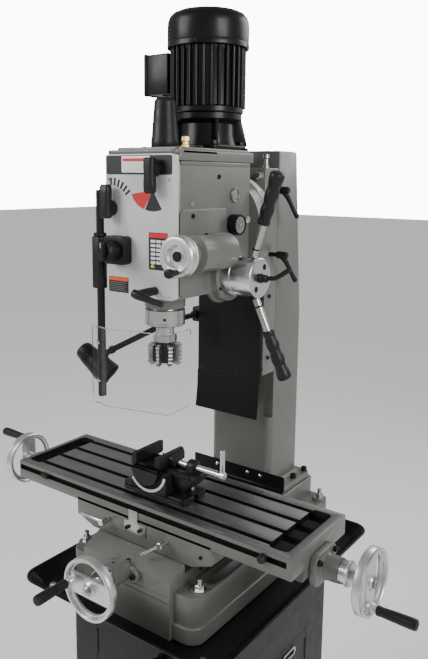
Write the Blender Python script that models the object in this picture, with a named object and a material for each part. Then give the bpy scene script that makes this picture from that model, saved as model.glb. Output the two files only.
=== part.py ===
"""Vertical milling machine: geared head on a square column, compound table, cabinet stand.

Frame: metres, +Z up, the operator stands on the -Y side, +X is the operator's right.
The origin is the centre of the stand's underside. Each moving piece has its origin on its joint's axis.
"""
import math

import bmesh
import bpy
from mathutils import Matrix, Vector

# ---------------------------------------------------------------- driving dimensions
GAP = 0.0003                 # clearance between faces that touch
SIDES = 28                   # sides of a large round piece
FEW_SIDES = 16               # sides of a small round piece
GUIDES = "guides"            # collection of the shapes used for cutting and joining

# stand and chip tray
CABINET_X = 0.213
CABINET_Y = 0.273
CABINET_TOP = 0.7587
SHEET = 0.003
DOOR_X = 0.132
DOOR_Z = (0.085, 0.700)
SIDE_DOOR_Y = 0.161
SIDE_DOOR_Z = (0.110, 0.566)
TRAY_X = 0.294
TRAY_Y = 0.378
TRAY_FLOOR = 0.762
TRAY_RIM = 0.792
TRAY_SLOPE = 0.030

# base casting
BASE_BOTTOM = TRAY_FLOOR + GAP
FLANGE_X = 0.189
FLANGE_Y = (-0.302, 0.330)
FLANGE_TOP = 0.870
FOOT_TOP = 0.802
FOOT_STEP = 0.005
BLOCK_X = 0.130
BLOCK_FRONT = -0.315
BLOCK_NOSE = 0.896
WAY_TOP = 0.918
WAY_FLOOR = 0.896
WAY_X = 0.098
WAY_UNDERCUT = 0.012
WAY_Y = (-0.262, 0.100)
PAD_X = 0.135
PAD_Y = (0.100, 0.334)

# saddle, table and their screws
TABLE_TOP = 1.020
TABLE_X = (-0.417, 0.395)
TABLE_Y = (-0.2645, -0.0235)
TABLE_THICK = 0.045
TABLE_MID_Y = -0.144
TABLE_BOTTOM = TABLE_TOP - TABLE_THICK
SLOT_OFFSETS = (-0.087, -0.029, 0.029, 0.087)
SLOT_MOUTH = 0.014
SLOT_FOOT = 0.024
SLOT_DEPTH = 0.022
TROUGH_DEPTH = 0.014
TROUGH_Y = 0.100
TROUGH_LEFT = (-0.405, -0.360)
TROUGH_RIGHT = (0.326, 0.374)
TABLE_RAIL = (0.060, 0.073, 0.025)
SADDLE_X = 0.203
SADDLE_Y = (-0.2645, -0.0260)
SADDLE_BOTTOM = WAY_TOP + GAP
SADDLE_TOP = TABLE_BOTTOM - GAP
TABLE_SCREW_Z = 0.960
CROSS_SCREW_Z = 0.890
SCREW_R = 0.010
WHEEL_R = 0.070
WHEEL_OFFSET = 0.112
CROSS_WHEEL_Y = -0.422
CRANK_R = 0.056

# vise on the table
VISE_Y = -0.171
VISE_PIVOT = (-0.015, 1.088)
VISE_ROCKER_R = 0.0497
VISE_JAW_TOP = 1.118
VISE_BED = (1.078, 1.090)
VISE_SCREW_Z = 1.100
VISE_SCREW_R = 0.0075

# column and head slide
COLUMN_X = 0.095
COLUMN_Y = (0.146, 0.304)
COLUMN_FOOT = WAY_TOP + GAP
COLUMN_TOP = 1.823
COLUMN_TAPER_Z = 1.400
COLUMN_TOP_BACK = 0.262
REBATE_Y = 0.1603
REBATE_Z = 1.130
WAY_FRONT_X = 0.075
WAY_ROOT_X = 0.062
SLIDE_Y = (0.097, 0.160)
SLIDE_Z = (1.255, 1.780)
LIFT_SCREW_Y = 0.185
CRANK_Z = 1.630
TILT_Z = 1.640
TILT_R = 0.125
TILT_Y = 0.0603

# head
SPINDLE_Y = -0.173
HEAD_X = 0.094
HEAD_Y = (-0.244, 0.036)
HEAD_Z = (1.498, 1.789)
PANEL_FRONT = -0.262
PANEL_Z = (1.4985, 1.803)
COVER_TOP = 1.818
QUILL_R = 0.0375
QUILL_BORE = QUILL_R + GAP
COLLAR_R = 0.0457
COLLAR_Z = (1.424, 1.4615)
CUTTER_Z = (1.332, 1.384)
FEED_Y = -0.080
FEED_Z = 1.537
FEED_FACE_X = 0.195
FEED_TIP_X = 0.250
FINE_X = 0.131
FINE_Z = 1.598
SHIFT_LEFT = (-0.077, 1.687)
SHIFT_RIGHT = (0.049, 1.773)
MOTOR_Y = -0.016
MOTOR_PLATE = (COVER_TOP + GAP, 1.843)
MOTOR_BODY = (1.9023, 2.047)
MOTOR_TOP = 2.142
FAN_COVER_R = 0.095

# guard and lamp
GUARD_X = -0.122
GUARD_Y = -0.254
GUARD_ROD_R = 0.010
SHIELD_Z = (1.236, 1.418)
LAMP_ARM_R = 0.0075

# colours: base colour, metallic, roughness
FINISHES = {
    "casting": ((0.19, 0.185, 0.16), 0.0, 0.42),
    "casting_silver": ((0.55, 0.55, 0.54), 0.0, 0.38),
    "black_gloss": ((0.010, 0.011, 0.012), 0.0, 0.18),
    "black_plastic": ((0.015, 0.015, 0.017), 0.0, 0.45),
    "stand_grey": ((0.040, 0.043, 0.047), 0.0, 0.40),
    "ground_steel": ((0.52, 0.52, 0.52), 1.0, 0.30),
    "dark_steel": ((0.06, 0.06, 0.065), 0.8, 0.40),
    "aluminium": ((0.66, 0.67, 0.68), 1.0, 0.38),
    "clear": ((0.92, 0.95, 0.96), 0.0, 0.05),
}


# ---------------------------------------------------------------- shape tools
def clear_scene():
    """Remove whatever the file holds."""
    for item in list(bpy.data.objects):
        bpy.data.objects.remove(item, do_unlink=True)
    for mesh in list(bpy.data.meshes):
        bpy.data.meshes.remove(mesh)


def finish_material(name):
    """The Principled material of one finish, made once."""
    if name in bpy.data.materials:
        return bpy.data.materials[name]
    color, metallic, roughness = FINISHES[name]
    made = bpy.data.materials.new(name)
    made.use_nodes = True
    shader = made.node_tree.nodes["Principled BSDF"]
    shader.inputs["Base Color"].default_value = (*color, 1.0)
    shader.inputs["Metallic"].default_value = metallic
    shader.inputs["Roughness"].default_value = roughness
    if name == "clear":
        shader.inputs["Transmission Weight"].default_value = 1.0
    return made


def along(axis, first, second, position):
    """A point at a position along an axis; first and second are its other two coordinates in order."""
    if axis == "X":
        return Vector((position, first, second))
    if axis == "Y":
        return Vector((first, position, second))
    return Vector((first, second, position))


def loft(rings):
    """A closed solid through rings of points, capped at both ends."""
    shape = bmesh.new()
    loops = [[shape.verts.new(point) for point in ring] for ring in rings]
    count = len(rings[0])
    for lower, upper in zip(loops, loops[1:]):
        for i in range(count):
            j = (i + 1) % count
            shape.faces.new((lower[i], lower[j], upper[j], upper[i]))
    shape.faces.new(loops[0])
    shape.faces.new(loops[-1])
    bmesh.ops.recalc_face_normals(shape, faces=shape.faces)
    return shape


def prism(outline, axis, low, high):
    """An outline pushed along an axis."""
    return loft([[along(axis, a, b, position) for a, b in outline] for position in (low, high)])


def box(x, y, z):
    """A block between two limits on each axis."""
    outline = [(x[0], y[0]), (x[1], y[0]), (x[1], y[1]), (x[0], y[1])]
    return prism(outline, "Z", z[0], z[1])


def rounded(x, y, radius, steps=4):
    """The outline of a rectangle with rounded corners."""
    centres = (
        (x[1] - radius, y[1] - radius, 0.0),
        (x[0] + radius, y[1] - radius, 0.5 * math.pi),
        (x[0] + radius, y[0] + radius, math.pi),
        (x[1] - radius, y[0] + radius, 1.5 * math.pi),
    )
    points = []
    for cx, cy, start in centres:
        for i in range(steps + 1):
            angle = start + 0.5 * math.pi * i / steps
            points.append((cx + radius * math.cos(angle), cy + radius * math.sin(angle)))
    return points


def turned(profile, axis, centre, steps=SIDES):
    """A profile of (radius, position) points turned about an axis; centre is its other two coordinates.

    A point at radius 0 closes the ring beside it with a flat cap.
    """
    shape = bmesh.new()
    rings = []
    for radius, position in profile:
        ring = []
        for i in range(steps if radius > 0.0 else 0):
            angle = 2.0 * math.pi * i / steps
            first = centre[0] + radius * math.cos(angle)
            second = centre[1] + radius * math.sin(angle)
            ring.append(shape.verts.new(along(axis, first, second, position)))
        rings.append(ring)
    if profile[0][0] > 0.0:
        rings.append(rings[0])
    for lower, upper in zip(rings, rings[1:]):
        if lower and upper:
            for i in range(steps):
                j = (i + 1) % steps
                shape.faces.new((lower[i], lower[j], upper[j], upper[i]))
        elif lower or upper:
            shape.faces.new(lower or upper)
    bmesh.ops.recalc_face_normals(shape, faces=shape.faces)
    return shape


def rod(radius, axis, centre, low, high, steps=FEW_SIDES):
    """A plain round bar."""
    return turned([(0.0, low), (radius, low), (radius, high), (0.0, high)], axis, centre, steps)


def tube(outer, inner, axis, centre, low, high, steps=SIDES):
    """A plain round sleeve."""
    profile = [(inner, low), (outer, low), (outer, high), (inner, high)]
    return turned(profile, axis, centre, steps)


def bent_bar(points, radii, steps=FEW_SIDES):
    """A round bar through points, with a radius at each point."""
    path = [Vector(point) for point in points]
    rings = []
    side = None
    for i, point in enumerate(path):
        before = (point - path[i - 1]).normalized() if i > 0 else Vector((0.0, 0.0, 0.0))
        after = (path[i + 1] - point).normalized() if i + 1 < len(path) else Vector((0.0, 0.0, 0.0))
        direction = (before + after).normalized()
        if side is None:
            guide = Vector((0.0, 0.0, 1.0)) if abs(direction.z) < 0.9 else Vector((1.0, 0.0, 0.0))
            side = direction.cross(guide).normalized()
        side = (side - direction * side.dot(direction)).normalized()
        up = direction.cross(side)
        ring = []
        for k in range(steps):
            angle = 2.0 * math.pi * k / steps
            ring.append(point + radii[i] * (math.cos(angle) * side + math.sin(angle) * up))
        rings.append(ring)
    return loft(rings)


def turn_shape(shape, degrees, axis, centre):
    """Turn a shape about an axis through a point."""
    turn = Matrix.Rotation(math.radians(degrees), 4, axis)
    bmesh.ops.rotate(shape, cent=Vector(centre), matrix=turn, verts=shape.verts)
    return shape


def new_object(name, shape, origin):
    """An object that holds a shape, with its origin where it is asked for."""
    bmesh.ops.translate(shape, vec=-Vector(origin), verts=shape.verts)
    mesh = bpy.data.meshes.new(name)
    shape.to_mesh(mesh)
    shape.free()
    made = bpy.data.objects.new(name, mesh)
    made.location = origin
    return made


def solid(name, finish, shapes, origin=(0.0, 0.0, 0.0)):
    """One piece: the first shape, then the others joined ('+') or cut away ('-') in order."""
    base = new_object(name, shapes[0][1], origin)
    base.data.materials.append(finish_material(finish))
    base.data.shade_smooth()
    base.data.set_sharp_from_angle(angle=math.radians(35.0))
    bpy.context.scene.collection.objects.link(base)
    for number, (sign, shape) in enumerate(shapes[1:], start=1):
        guide = new_object(f"{name}_guide_{number}", shape, origin)
        guide.data.materials.append(finish_material(finish))
        guide.hide_render = True
        guide.display_type = "WIRE"
        bpy.data.collections[GUIDES].objects.link(guide)
        step = base.modifiers.new(f"step_{number}", "BOOLEAN")
        step.operation = "UNION" if sign == "+" else "DIFFERENCE"
        step.solver = "EXACT"
        step.object = guide
    return base


# ---------------------------------------------------------------- stand
def make_stand():
    """Sheet-steel cabinet with a front door and a right side door, and the chip tray on top."""
    inner = CABINET_X - SHEET
    door_gap = 0.0015
    aperture = (DOOR_X + door_gap, (DOOR_Z[0] - door_gap, DOOR_Z[1] + door_gap))
    side_gap = SIDE_DOOR_Y + door_gap
    side_z = (SIDE_DOOR_Z[0] - door_gap, SIDE_DOOR_Z[1] + door_gap)
    solid("stand_cabinet", "stand_grey", [
        ("+", prism(rounded((-CABINET_X, CABINET_X), (-CABINET_Y, CABINET_Y), 0.008, 2), "Z", 0.0, CABINET_TOP)),
        ("-", box((-inner, inner), (SHEET - CABINET_Y, CABINET_Y - SHEET), (SHEET, CABINET_TOP - SHEET))),
        ("-", box((-aperture[0], aperture[0]), (-CABINET_Y - 0.01, -CABINET_Y + 0.01), aperture[1])),
        ("-", box((CABINET_X - 0.01, CABINET_X + 0.01), (-side_gap, side_gap), side_z)),
    ])
    front = (-CABINET_Y, SHEET - CABINET_Y)
    stiffener = (SHEET - CABINET_Y - 0.001, SHEET - CABINET_Y + 0.012)
    rim = 0.012
    solid("stand_front_door", "stand_grey", [
        ("+", box((-DOOR_X, DOOR_X), front, DOOR_Z)),
        ("+", box((rim - DOOR_X, DOOR_X - rim), stiffener, (DOOR_Z[0] + rim, DOOR_Z[0] + rim + SHEET))),
        ("+", box((rim - DOOR_X, DOOR_X - rim), stiffener, (DOOR_Z[1] - rim - SHEET, DOOR_Z[1] - rim))),
        ("+", rod(0.012, "Y", (DOOR_X - 0.058, 0.666), -CABINET_Y - 0.022, -CABINET_Y + 0.001)),
    ], (-DOOR_X, -CABINET_Y, 0.0))
    side = (CABINET_X - SHEET, CABINET_X)
    stiffener = (CABINET_X - SHEET - 0.012, CABINET_X - SHEET + 0.001)
    solid("stand_side_door", "stand_grey", [
        ("+", box(side, (-SIDE_DOOR_Y, SIDE_DOOR_Y), SIDE_DOOR_Z)),
        ("+", box(stiffener, (rim - SIDE_DOOR_Y, SIDE_DOOR_Y - rim), (SIDE_DOOR_Z[0] + rim, SIDE_DOOR_Z[0] + 0.015))),
        ("+", box(stiffener, (rim - SIDE_DOOR_Y, SIDE_DOOR_Y - rim), (SIDE_DOOR_Z[1] - 0.015, SIDE_DOOR_Z[1] - rim))),
    ], (CABINET_X, SIDE_DOOR_Y, 0.0))
    make_tray()


def make_tray():
    """Chip tray: a pan with sloping walls and a narrow rolled rim."""
    def ring(inset, height, corner):
        outline = rounded((inset - TRAY_X, TRAY_X - inset), (inset - TRAY_Y, TRAY_Y - inset), corner)
        return [(x, y, height) for x, y in outline]

    lip = 0.004
    solid("chip_tray", "black_gloss", [("+", loft([
        ring(TRAY_SLOPE, TRAY_FLOOR - SHEET, 0.020),
        ring(lip, TRAY_RIM - SHEET, 0.044),
        ring(0.0, TRAY_RIM - SHEET, 0.048),
        ring(0.0, TRAY_RIM, 0.048),
        ring(lip + SHEET, TRAY_RIM, 0.041),
        ring(TRAY_SLOPE + SHEET, TRAY_FLOOR, 0.017),
    ]))])


# ---------------------------------------------------------------- base
def make_base():
    """Base casting with its front block, cross ways, chip troughs and the column pad."""
    foot_x = FLANGE_X + FOOT_STEP
    foot_y = (FLANGE_Y[0] - FOOT_STEP, FLANGE_Y[1] + FOOT_STEP)
    front_block = [
        (BLOCK_FRONT, BASE_BOTTOM), (BLOCK_FRONT, BLOCK_NOSE), (WAY_Y[0], WAY_TOP),
        (-0.100, WAY_TOP), (-0.100, BASE_BOTTOM),
    ]
    shapes = [
        ("+", prism(rounded((-foot_x, foot_x), foot_y, 0.032), "Z", BASE_BOTTOM, FOOT_TOP)),
        ("+", prism(rounded((-FLANGE_X, FLANGE_X), FLANGE_Y, 0.028), "Z", BASE_BOTTOM + 0.01, FLANGE_TOP)),
        ("+", prism(front_block, "X", -BLOCK_X, BLOCK_X)),
        ("+", box((-BLOCK_X, BLOCK_X), (-0.200, 0.120), (FLANGE_TOP - 0.02, WAY_TOP))),
        ("+", prism(rounded((-PAD_X, PAD_X), PAD_Y, 0.020), "Z", FLANGE_TOP - 0.02, WAY_TOP)),
    ]
    for side in (-1, 1):
        groove = [
            (side * WAY_X, WAY_TOP + 0.005), (side * WAY_X, WAY_TOP),
            (side * (WAY_X - WAY_UNDERCUT), WAY_FLOOR), (side * (BLOCK_X + 0.01), WAY_FLOOR),
            (side * (BLOCK_X + 0.01), WAY_TOP + 0.005),
        ]
        trough = sorted((side * 0.140, side * 0.180))
        shapes.append(("-", prism(groove, "Y", WAY_Y[0], PAD_Y[0])))
        shapes.append(("-", box(trough, (-0.225, 0.085), (FLANGE_TOP - 0.018, FLANGE_TOP + 0.01))))
    shapes += [
        ("-", box((-0.018, 0.018), (-0.240, 0.090), (0.868, WAY_TOP + 0.01))),
        ("-", rod(SCREW_R + 0.003, "Y", (0.0, CROSS_SCREW_Z), BLOCK_FRONT - 0.01, -0.230)),
        ("-", box((-0.110, 0.110), (-0.290, 0.300), (BASE_BOTTOM - 0.01, 0.850))),
    ]
    solid("base_casting", "casting", shapes)
    bracket = [
        (0.0, -0.345), (0.030, -0.345), (0.034, -0.3455), (0.046, -0.327), (0.050, -0.3165), (0.0, -0.3165)]
    bracket_face = BLOCK_FRONT - GAP
    flange = rounded((-0.046, 0.046), (CROSS_SCREW_Z - 0.034, CROSS_SCREW_Z + 0.024), 0.018)
    solid("cross_screw_bracket", "casting", [
        ("+", prism(flange, "Y", bracket_face - 0.012, bracket_face)),
        ("+", rod(0.027, "Y", (0.0, CROSS_SCREW_Z), -0.375, bracket_face - 0.006, SIDES)),
        ("-", rod(SCREW_R + GAP, "Y", (0.0, CROSS_SCREW_Z), -0.380, bracket_face + 0.01)),
    ])


def hand_wheel(axis, centre, pin, face, outward):
    """Shapes of a cast hand wheel: rim, one wide web across it and the hub, bored for its shaft.

    face is where the rim's outer edge lies along the axis, outward is the sign of the operator's side.
    The web carries a raised seat for the handle at pin.
    """
    def at(depth):
        return face - outward * depth

    rim = [(WHEEL_R, at(0.003)), (WHEEL_R - 0.003, at(0.0)), (WHEEL_R - 0.012, at(0.0)),
           (WHEEL_R - 0.015, at(0.003)), (WHEEL_R - 0.012, at(0.022)), (WHEEL_R, at(0.022))]
    reach = WHEEL_R - 0.008
    half = 0.026
    web = sorted((at(0.010), at(0.018)))
    if axis == "Y":
        outline = [(centre[0] - reach, centre[1] - half), (centre[0] + reach, centre[1] - half),
                   (centre[0] + reach, centre[1] + half), (centre[0] - reach, centre[1] + half)]
    else:
        outline = [(centre[0] - half, centre[1] - reach), (centre[0] + half, centre[1] - reach),
                   (centre[0] + half, centre[1] + reach), (centre[0] - half, centre[1] + reach)]
    hub = sorted((at(0.004), at(0.034)))
    seat = sorted((at(-0.001), at(0.014)))
    bore = sorted((at(-0.01), at(0.05)))
    return [
        ("+", turned(rim, axis, centre)),
        ("+", prism(outline, axis, web[0], web[1])),
        ("+", rod(0.016, axis, centre, hub[0], hub[1])),
        ("+", rod(0.0105, axis, pin, seat[0], seat[1], 12)),
        ("-", rod(SCREW_R + GAP, axis, centre, bore[0], bore[1])),
    ]


def crank_handle(name, axis, centre, face, outward):
    """A revolving handle: a swelling grip that stands on the hand wheel's web."""
    profile = [(0.0, 0.0), (0.007, 0.0), (0.009, 0.012), (0.0125, 0.045), (0.0125, 0.078), (0.009, 0.088), (0.0, 0.088)]
    start = face + outward * (0.001 + GAP)
    placed = [(radius, start + outward * step) for radius, step in profile]
    origin = along(axis, centre[0], centre[1], start)
    solid(name, "black_plastic", [("+", turned(placed, axis, centre, FEW_SIDES))], origin)


def make_cross_feed():
    """Cross leadscrew with its hand wheel, turning about Y in the base."""
    axis_point = (0.0, CROSS_WHEEL_Y, CROSS_SCREW_Z)
    face = CROSS_WHEEL_Y - 0.012
    solid("cross_leadscrew", "ground_steel", [
        ("+", rod(SCREW_R, "Y", (0.0, CROSS_SCREW_Z), face + 0.002, 0.080)),
    ], axis_point)
    pin = (-CRANK_R, CROSS_SCREW_Z)
    wheel = hand_wheel("Y", (0.0, CROSS_SCREW_Z), pin, face, -1)
    solid("cross_handwheel", "aluminium", wheel, axis_point)
    crank_handle("cross_handle", "Y", pin, face, -1)


# ---------------------------------------------------------------- saddle and table
def make_saddle():
    """Saddle: rides on the base's cross ways, carries the table in a dovetail along X."""
    shoulder = 0.149
    front = [
        (-SADDLE_X, SADDLE_TOP), (-SADDLE_X, 0.938), (-shoulder, SADDLE_BOTTOM),
        (shoulder, SADDLE_BOTTOM), (SADDLE_X, 0.938), (SADDLE_X, SADDLE_TOP),
    ]
    shapes = [("+", prism(front, "Y", SADDLE_Y[0], SADDLE_Y[1]))]
    wing_y = (SADDLE_Y[0] + 0.106, SADDLE_Y[1])
    for side in (-1, 1):
        slope = GAP * 1.3
        wing = [
            (side * (WAY_X + slope), SADDLE_BOTTOM + 0.005), (side * (WAY_X + slope), WAY_TOP),
            (side * (WAY_X - WAY_UNDERCUT + slope + 0.0003), WAY_FLOOR + GAP),
            (side * 0.128, WAY_FLOOR + GAP), (side * 0.136, SADDLE_BOTTOM + 0.005),
        ]
        shapes.append(("+", prism(wing, "Y", wing_y[0], wing_y[1])))
    nut_y = (-0.1395, -0.0995)
    narrow, wide, deep = TABLE_RAIL
    groove = [
        (TABLE_MID_Y - narrow - GAP, SADDLE_TOP + 0.005), (TABLE_MID_Y - narrow - GAP, SADDLE_TOP),
        (TABLE_MID_Y - wide - 2 * GAP, TABLE_BOTTOM - deep - GAP),
        (TABLE_MID_Y + wide + 2 * GAP, TABLE_BOTTOM - deep - GAP),
        (TABLE_MID_Y + narrow + GAP, SADDLE_TOP), (TABLE_MID_Y + narrow + GAP, SADDLE_TOP + 0.005),
    ]
    shapes += [
        ("-", prism(groove, "X", -SADDLE_X - 0.01, SADDLE_X + 0.01)),
        ("-", box((-SADDLE_X - 0.01, SADDLE_X + 0.01), (TABLE_MID_Y - 0.016, TABLE_MID_Y + 0.016), (0.944, 0.96))),
        ("+", box((-0.022, 0.022), (TABLE_MID_Y - 0.0145, TABLE_MID_Y + 0.0145), (0.940, 0.9835))),
        ("-", rod(SCREW_R + GAP, "X", (TABLE_MID_Y, TABLE_SCREW_Z), -0.05, 0.05)),
        ("+", box((-0.0165, 0.0165), nut_y, (0.871, 0.925))),
        ("-", rod(SCREW_R + GAP, "Y", (0.0, CROSS_SCREW_Z), -0.2, -0.05)),
    ]
    solid("saddle", "casting", shapes, (0.0, SADDLE_Y[0], SADDLE_BOTTOM))
    for name, x, degrees in (("saddle_lock_lever_left", -0.095, 172.0), ("saddle_lock_lever_right", 0.082, 215.0)):
        make_ratchet_lever(name, x, degrees)


def make_ratchet_lever(name, x, degrees):
    """A small clamp lever on the saddle's front: hub and a tapering arm in the XZ plane."""
    z = 0.957
    front = SADDLE_Y[0] - GAP
    reach = 0.058
    angle = math.radians(degrees)
    tip = (x + reach * math.cos(angle), front - 0.034, z + reach * math.sin(angle))
    solid(name, "aluminium", [
        ("+", rod(0.0075, "Y", (x, z), front - 0.030, front)),
        ("+", bent_bar([(x, front - 0.024, z), tip], [0.0052, 0.0034], 8)),
    ], (x, front, z))


def make_table():
    """Work table: four T-slots that end in chip troughs, a stop groove in front and the dovetail rail below."""
    narrow, wide, deep = TABLE_RAIL
    shapes = [("+", box(TABLE_X, TABLE_Y, (TABLE_BOTTOM, TABLE_TOP)))]
    rail = [
        (TABLE_MID_Y - narrow, TABLE_BOTTOM + 0.005), (TABLE_MID_Y - narrow, TABLE_BOTTOM),
        (TABLE_MID_Y - wide, TABLE_BOTTOM - deep), (TABLE_MID_Y + wide, TABLE_BOTTOM - deep),
        (TABLE_MID_Y + narrow, TABLE_BOTTOM), (TABLE_MID_Y + narrow, TABLE_BOTTOM + 0.005),
    ]
    shapes.append(("+", prism(rail, "X", TABLE_X[0] + 0.001, TABLE_X[1] - 0.001)))
    trough_y = (TABLE_MID_Y - TROUGH_Y, TABLE_MID_Y + TROUGH_Y)
    for trough in (TROUGH_LEFT, TROUGH_RIGHT):
        shapes.append(("-", box(trough, trough_y, (TABLE_TOP - TROUGH_DEPTH, TABLE_TOP + 0.01))))
    for offset in SLOT_OFFSETS:
        y = TABLE_MID_Y + offset
        foot = TABLE_TOP - SLOT_DEPTH
        outline = [
            (y - SLOT_MOUTH / 2, TABLE_TOP + 0.01), (y - SLOT_MOUTH / 2, foot + 0.010),
            (y - SLOT_FOOT / 2, foot + 0.010), (y - SLOT_FOOT / 2, foot),
            (y + SLOT_FOOT / 2, foot), (y + SLOT_FOOT / 2, foot + 0.010),
            (y + SLOT_MOUTH / 2, foot + 0.010), (y + SLOT_MOUTH / 2, TABLE_TOP + 0.01),
        ]
        shapes.append(("-", prism(outline, "X", TROUGH_LEFT[0] + 0.01, TROUGH_RIGHT[1] - 0.01)))
    tunnel = (TABLE_MID_Y - 0.016, TABLE_MID_Y + 0.016)
    shapes += [
        ("-", box((TABLE_X[0] + 0.018, TABLE_X[1] - 0.018), (TABLE_Y[0] - 0.01, TABLE_Y[0] + 0.009), (0.998, 1.011))),
        ("-", box((TABLE_X[0] - 0.01, TABLE_X[1] + 0.01), tunnel, (0.940, 0.985))),
    ]
    solid("table", "casting", shapes, (sum(TABLE_X) / 2, TABLE_MID_Y, TABLE_BOTTOM))
    make_table_feed()


def make_table_feed():
    """Table leadscrew along X in its two end brackets, with a hand wheel at each end."""
    centre = (TABLE_MID_Y, TABLE_SCREW_Z)
    axis_point = (0.0, TABLE_MID_Y, TABLE_SCREW_Z)
    outline = rounded((TABLE_MID_Y - 0.048, TABLE_MID_Y + 0.048), (0.926, 0.996), 0.018)
    for side, name, end in ((-1, "left", TABLE_X[0]), (1, "right", TABLE_X[1])):
        plate = sorted((end + side * GAP, end + side * 0.016))
        boss = sorted((end + side * 0.010, end + side * 0.052))
        bore = sorted((end - side * 0.01, end + side * 0.06))
        solid(f"table_bracket_{name}", "casting", [
            ("+", prism(outline, "X", plate[0], plate[1])),
            ("+", rod(0.027, "X", centre, boss[0], boss[1], SIDES)),
            ("-", rod(SCREW_R + GAP, "X", centre, bore[0], bore[1])),
        ])
        face = end + side * (WHEEL_OFFSET + 0.012)
        pin = (TABLE_MID_Y, TABLE_SCREW_Z - side * CRANK_R)
        solid(f"table_handwheel_{name}", "aluminium", hand_wheel("X", centre, pin, face, side), axis_point)
        crank_handle(f"table_handle_{name}", "X", pin, face, side)
    ends = (TABLE_X[0] - WHEEL_OFFSET - 0.010, TABLE_X[1] + WHEEL_OFFSET + 0.010)
    solid("table_leadscrew", "ground_steel", [("+", rod(SCREW_R, "X", centre, ends[0], ends[1]))], axis_point)


# ---------------------------------------------------------------- vise
def make_vise():
    """Tilting machine vise: a half-round rocker in a cradle, jaws opening along X, and a crank on the screw."""
    px, pz = VISE_PIVOT
    bottom = TABLE_TOP + GAP
    y0, y1 = VISE_Y - 0.050, VISE_Y + 0.050
    cup = VISE_ROCKER_R + 2 * GAP
    arc = [math.radians(216 + 131 * k / 12) for k in range(13)]
    cradle = [(0.042, 1.0300), (-0.062, 1.0300), (-0.062, 1.0530), (-0.057, 1.0560)]
    cradle += [(px + cup * math.cos(a), pz + cup * math.sin(a)) for a in arc]
    cradle += [(0.042, 1.0766)]
    foot = (y0 + 0.006, y1 - 0.006)
    shapes = [
        ("+", prism(rounded((-0.098, 0.092), foot, 0.012), "Z", bottom, bottom + 0.014)),
        ("+", prism(cradle, "Y", y0, y1)),
    ]
    for side, inner, outer in ((-1, -0.074, -0.110), (1, 0.070, 0.104)):
        slot = (VISE_Y - 0.007, VISE_Y + 0.007)
        shapes.append(("-", box(sorted((inner, outer)), slot, (bottom - 0.01, bottom + 0.03))))
        shapes.append(("-", rod(0.007, "Z", (inner, VISE_Y), bottom - 0.01, bottom + 0.03)))
    solid("vise_base", "black_plastic", shapes)
    rocker = [(px + VISE_ROCKER_R * math.cos(a), pz + VISE_ROCKER_R * math.sin(a)) for a in
              [math.pi + math.pi * k / 16 for k in range(17)]]
    belly = [(0.0440, 1.0620), (0.0600, 1.0480), (0.0800, 1.0480), (0.1080, 1.0780), (0.1080, 1.0880), (0.0440, 1.0880)]
    jaw = (VISE_Y - 0.050, VISE_Y + 0.050)
    screw = (VISE_Y, VISE_SCREW_Z)
    solid("vise_body", "black_plastic", [
        ("+", prism(rocker, "Y", y0 + 0.0005, y1 - 0.0005)),
        ("+", box((-0.060, 0.092), (VISE_Y - 0.030, VISE_Y + 0.030), VISE_BED)),
        ("+", box((-0.063, -0.048), jaw, (pz - 0.002, VISE_JAW_TOP))),
        ("+", prism(belly, "Y", VISE_Y - 0.027, VISE_Y + 0.027)),
        ("+", box((0.072, 0.092), (VISE_Y - 0.018, VISE_Y + 0.018), (VISE_BED[0] + 0.002, VISE_SCREW_Z))),
        ("+", rod(0.0165, "X", screw, 0.0721, 0.0919)),
        ("-", rod(VISE_SCREW_R + GAP, "X", screw, 0.060, 0.100)),
    ], (px, VISE_Y, pz))
    solid("vise_moving_jaw", "black_plastic", [
        ("+", box((0.007, 0.021), (VISE_Y - 0.048, VISE_Y + 0.048), (VISE_BED[1] + GAP, VISE_JAW_TOP))),
        ("+", box((0.019, 0.041), (VISE_Y - 0.016, VISE_Y + 0.016), (VISE_BED[1] + GAP, VISE_SCREW_Z + 0.014))),
        ("-", rod(VISE_SCREW_R + GAP, "X", screw, 0.025, 0.050)),
    ], (0.007, VISE_Y, VISE_BED[1]))
    arm = 0.163
    solid("vise_screw", "ground_steel", [
        ("+", rod(VISE_SCREW_R, "X", screw, 0.027, arm + 0.009)),
        ("+", rod(0.0090, "X", screw, arm - 0.004, arm + 0.007)),
        ("+", box((arm - 0.0025, arm + 0.0035), (VISE_Y - 0.0065, VISE_Y + 0.0065), (VISE_SCREW_Z, VISE_SCREW_Z + 0.060))),
    ], (arm, VISE_Y, VISE_SCREW_Z))


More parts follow.
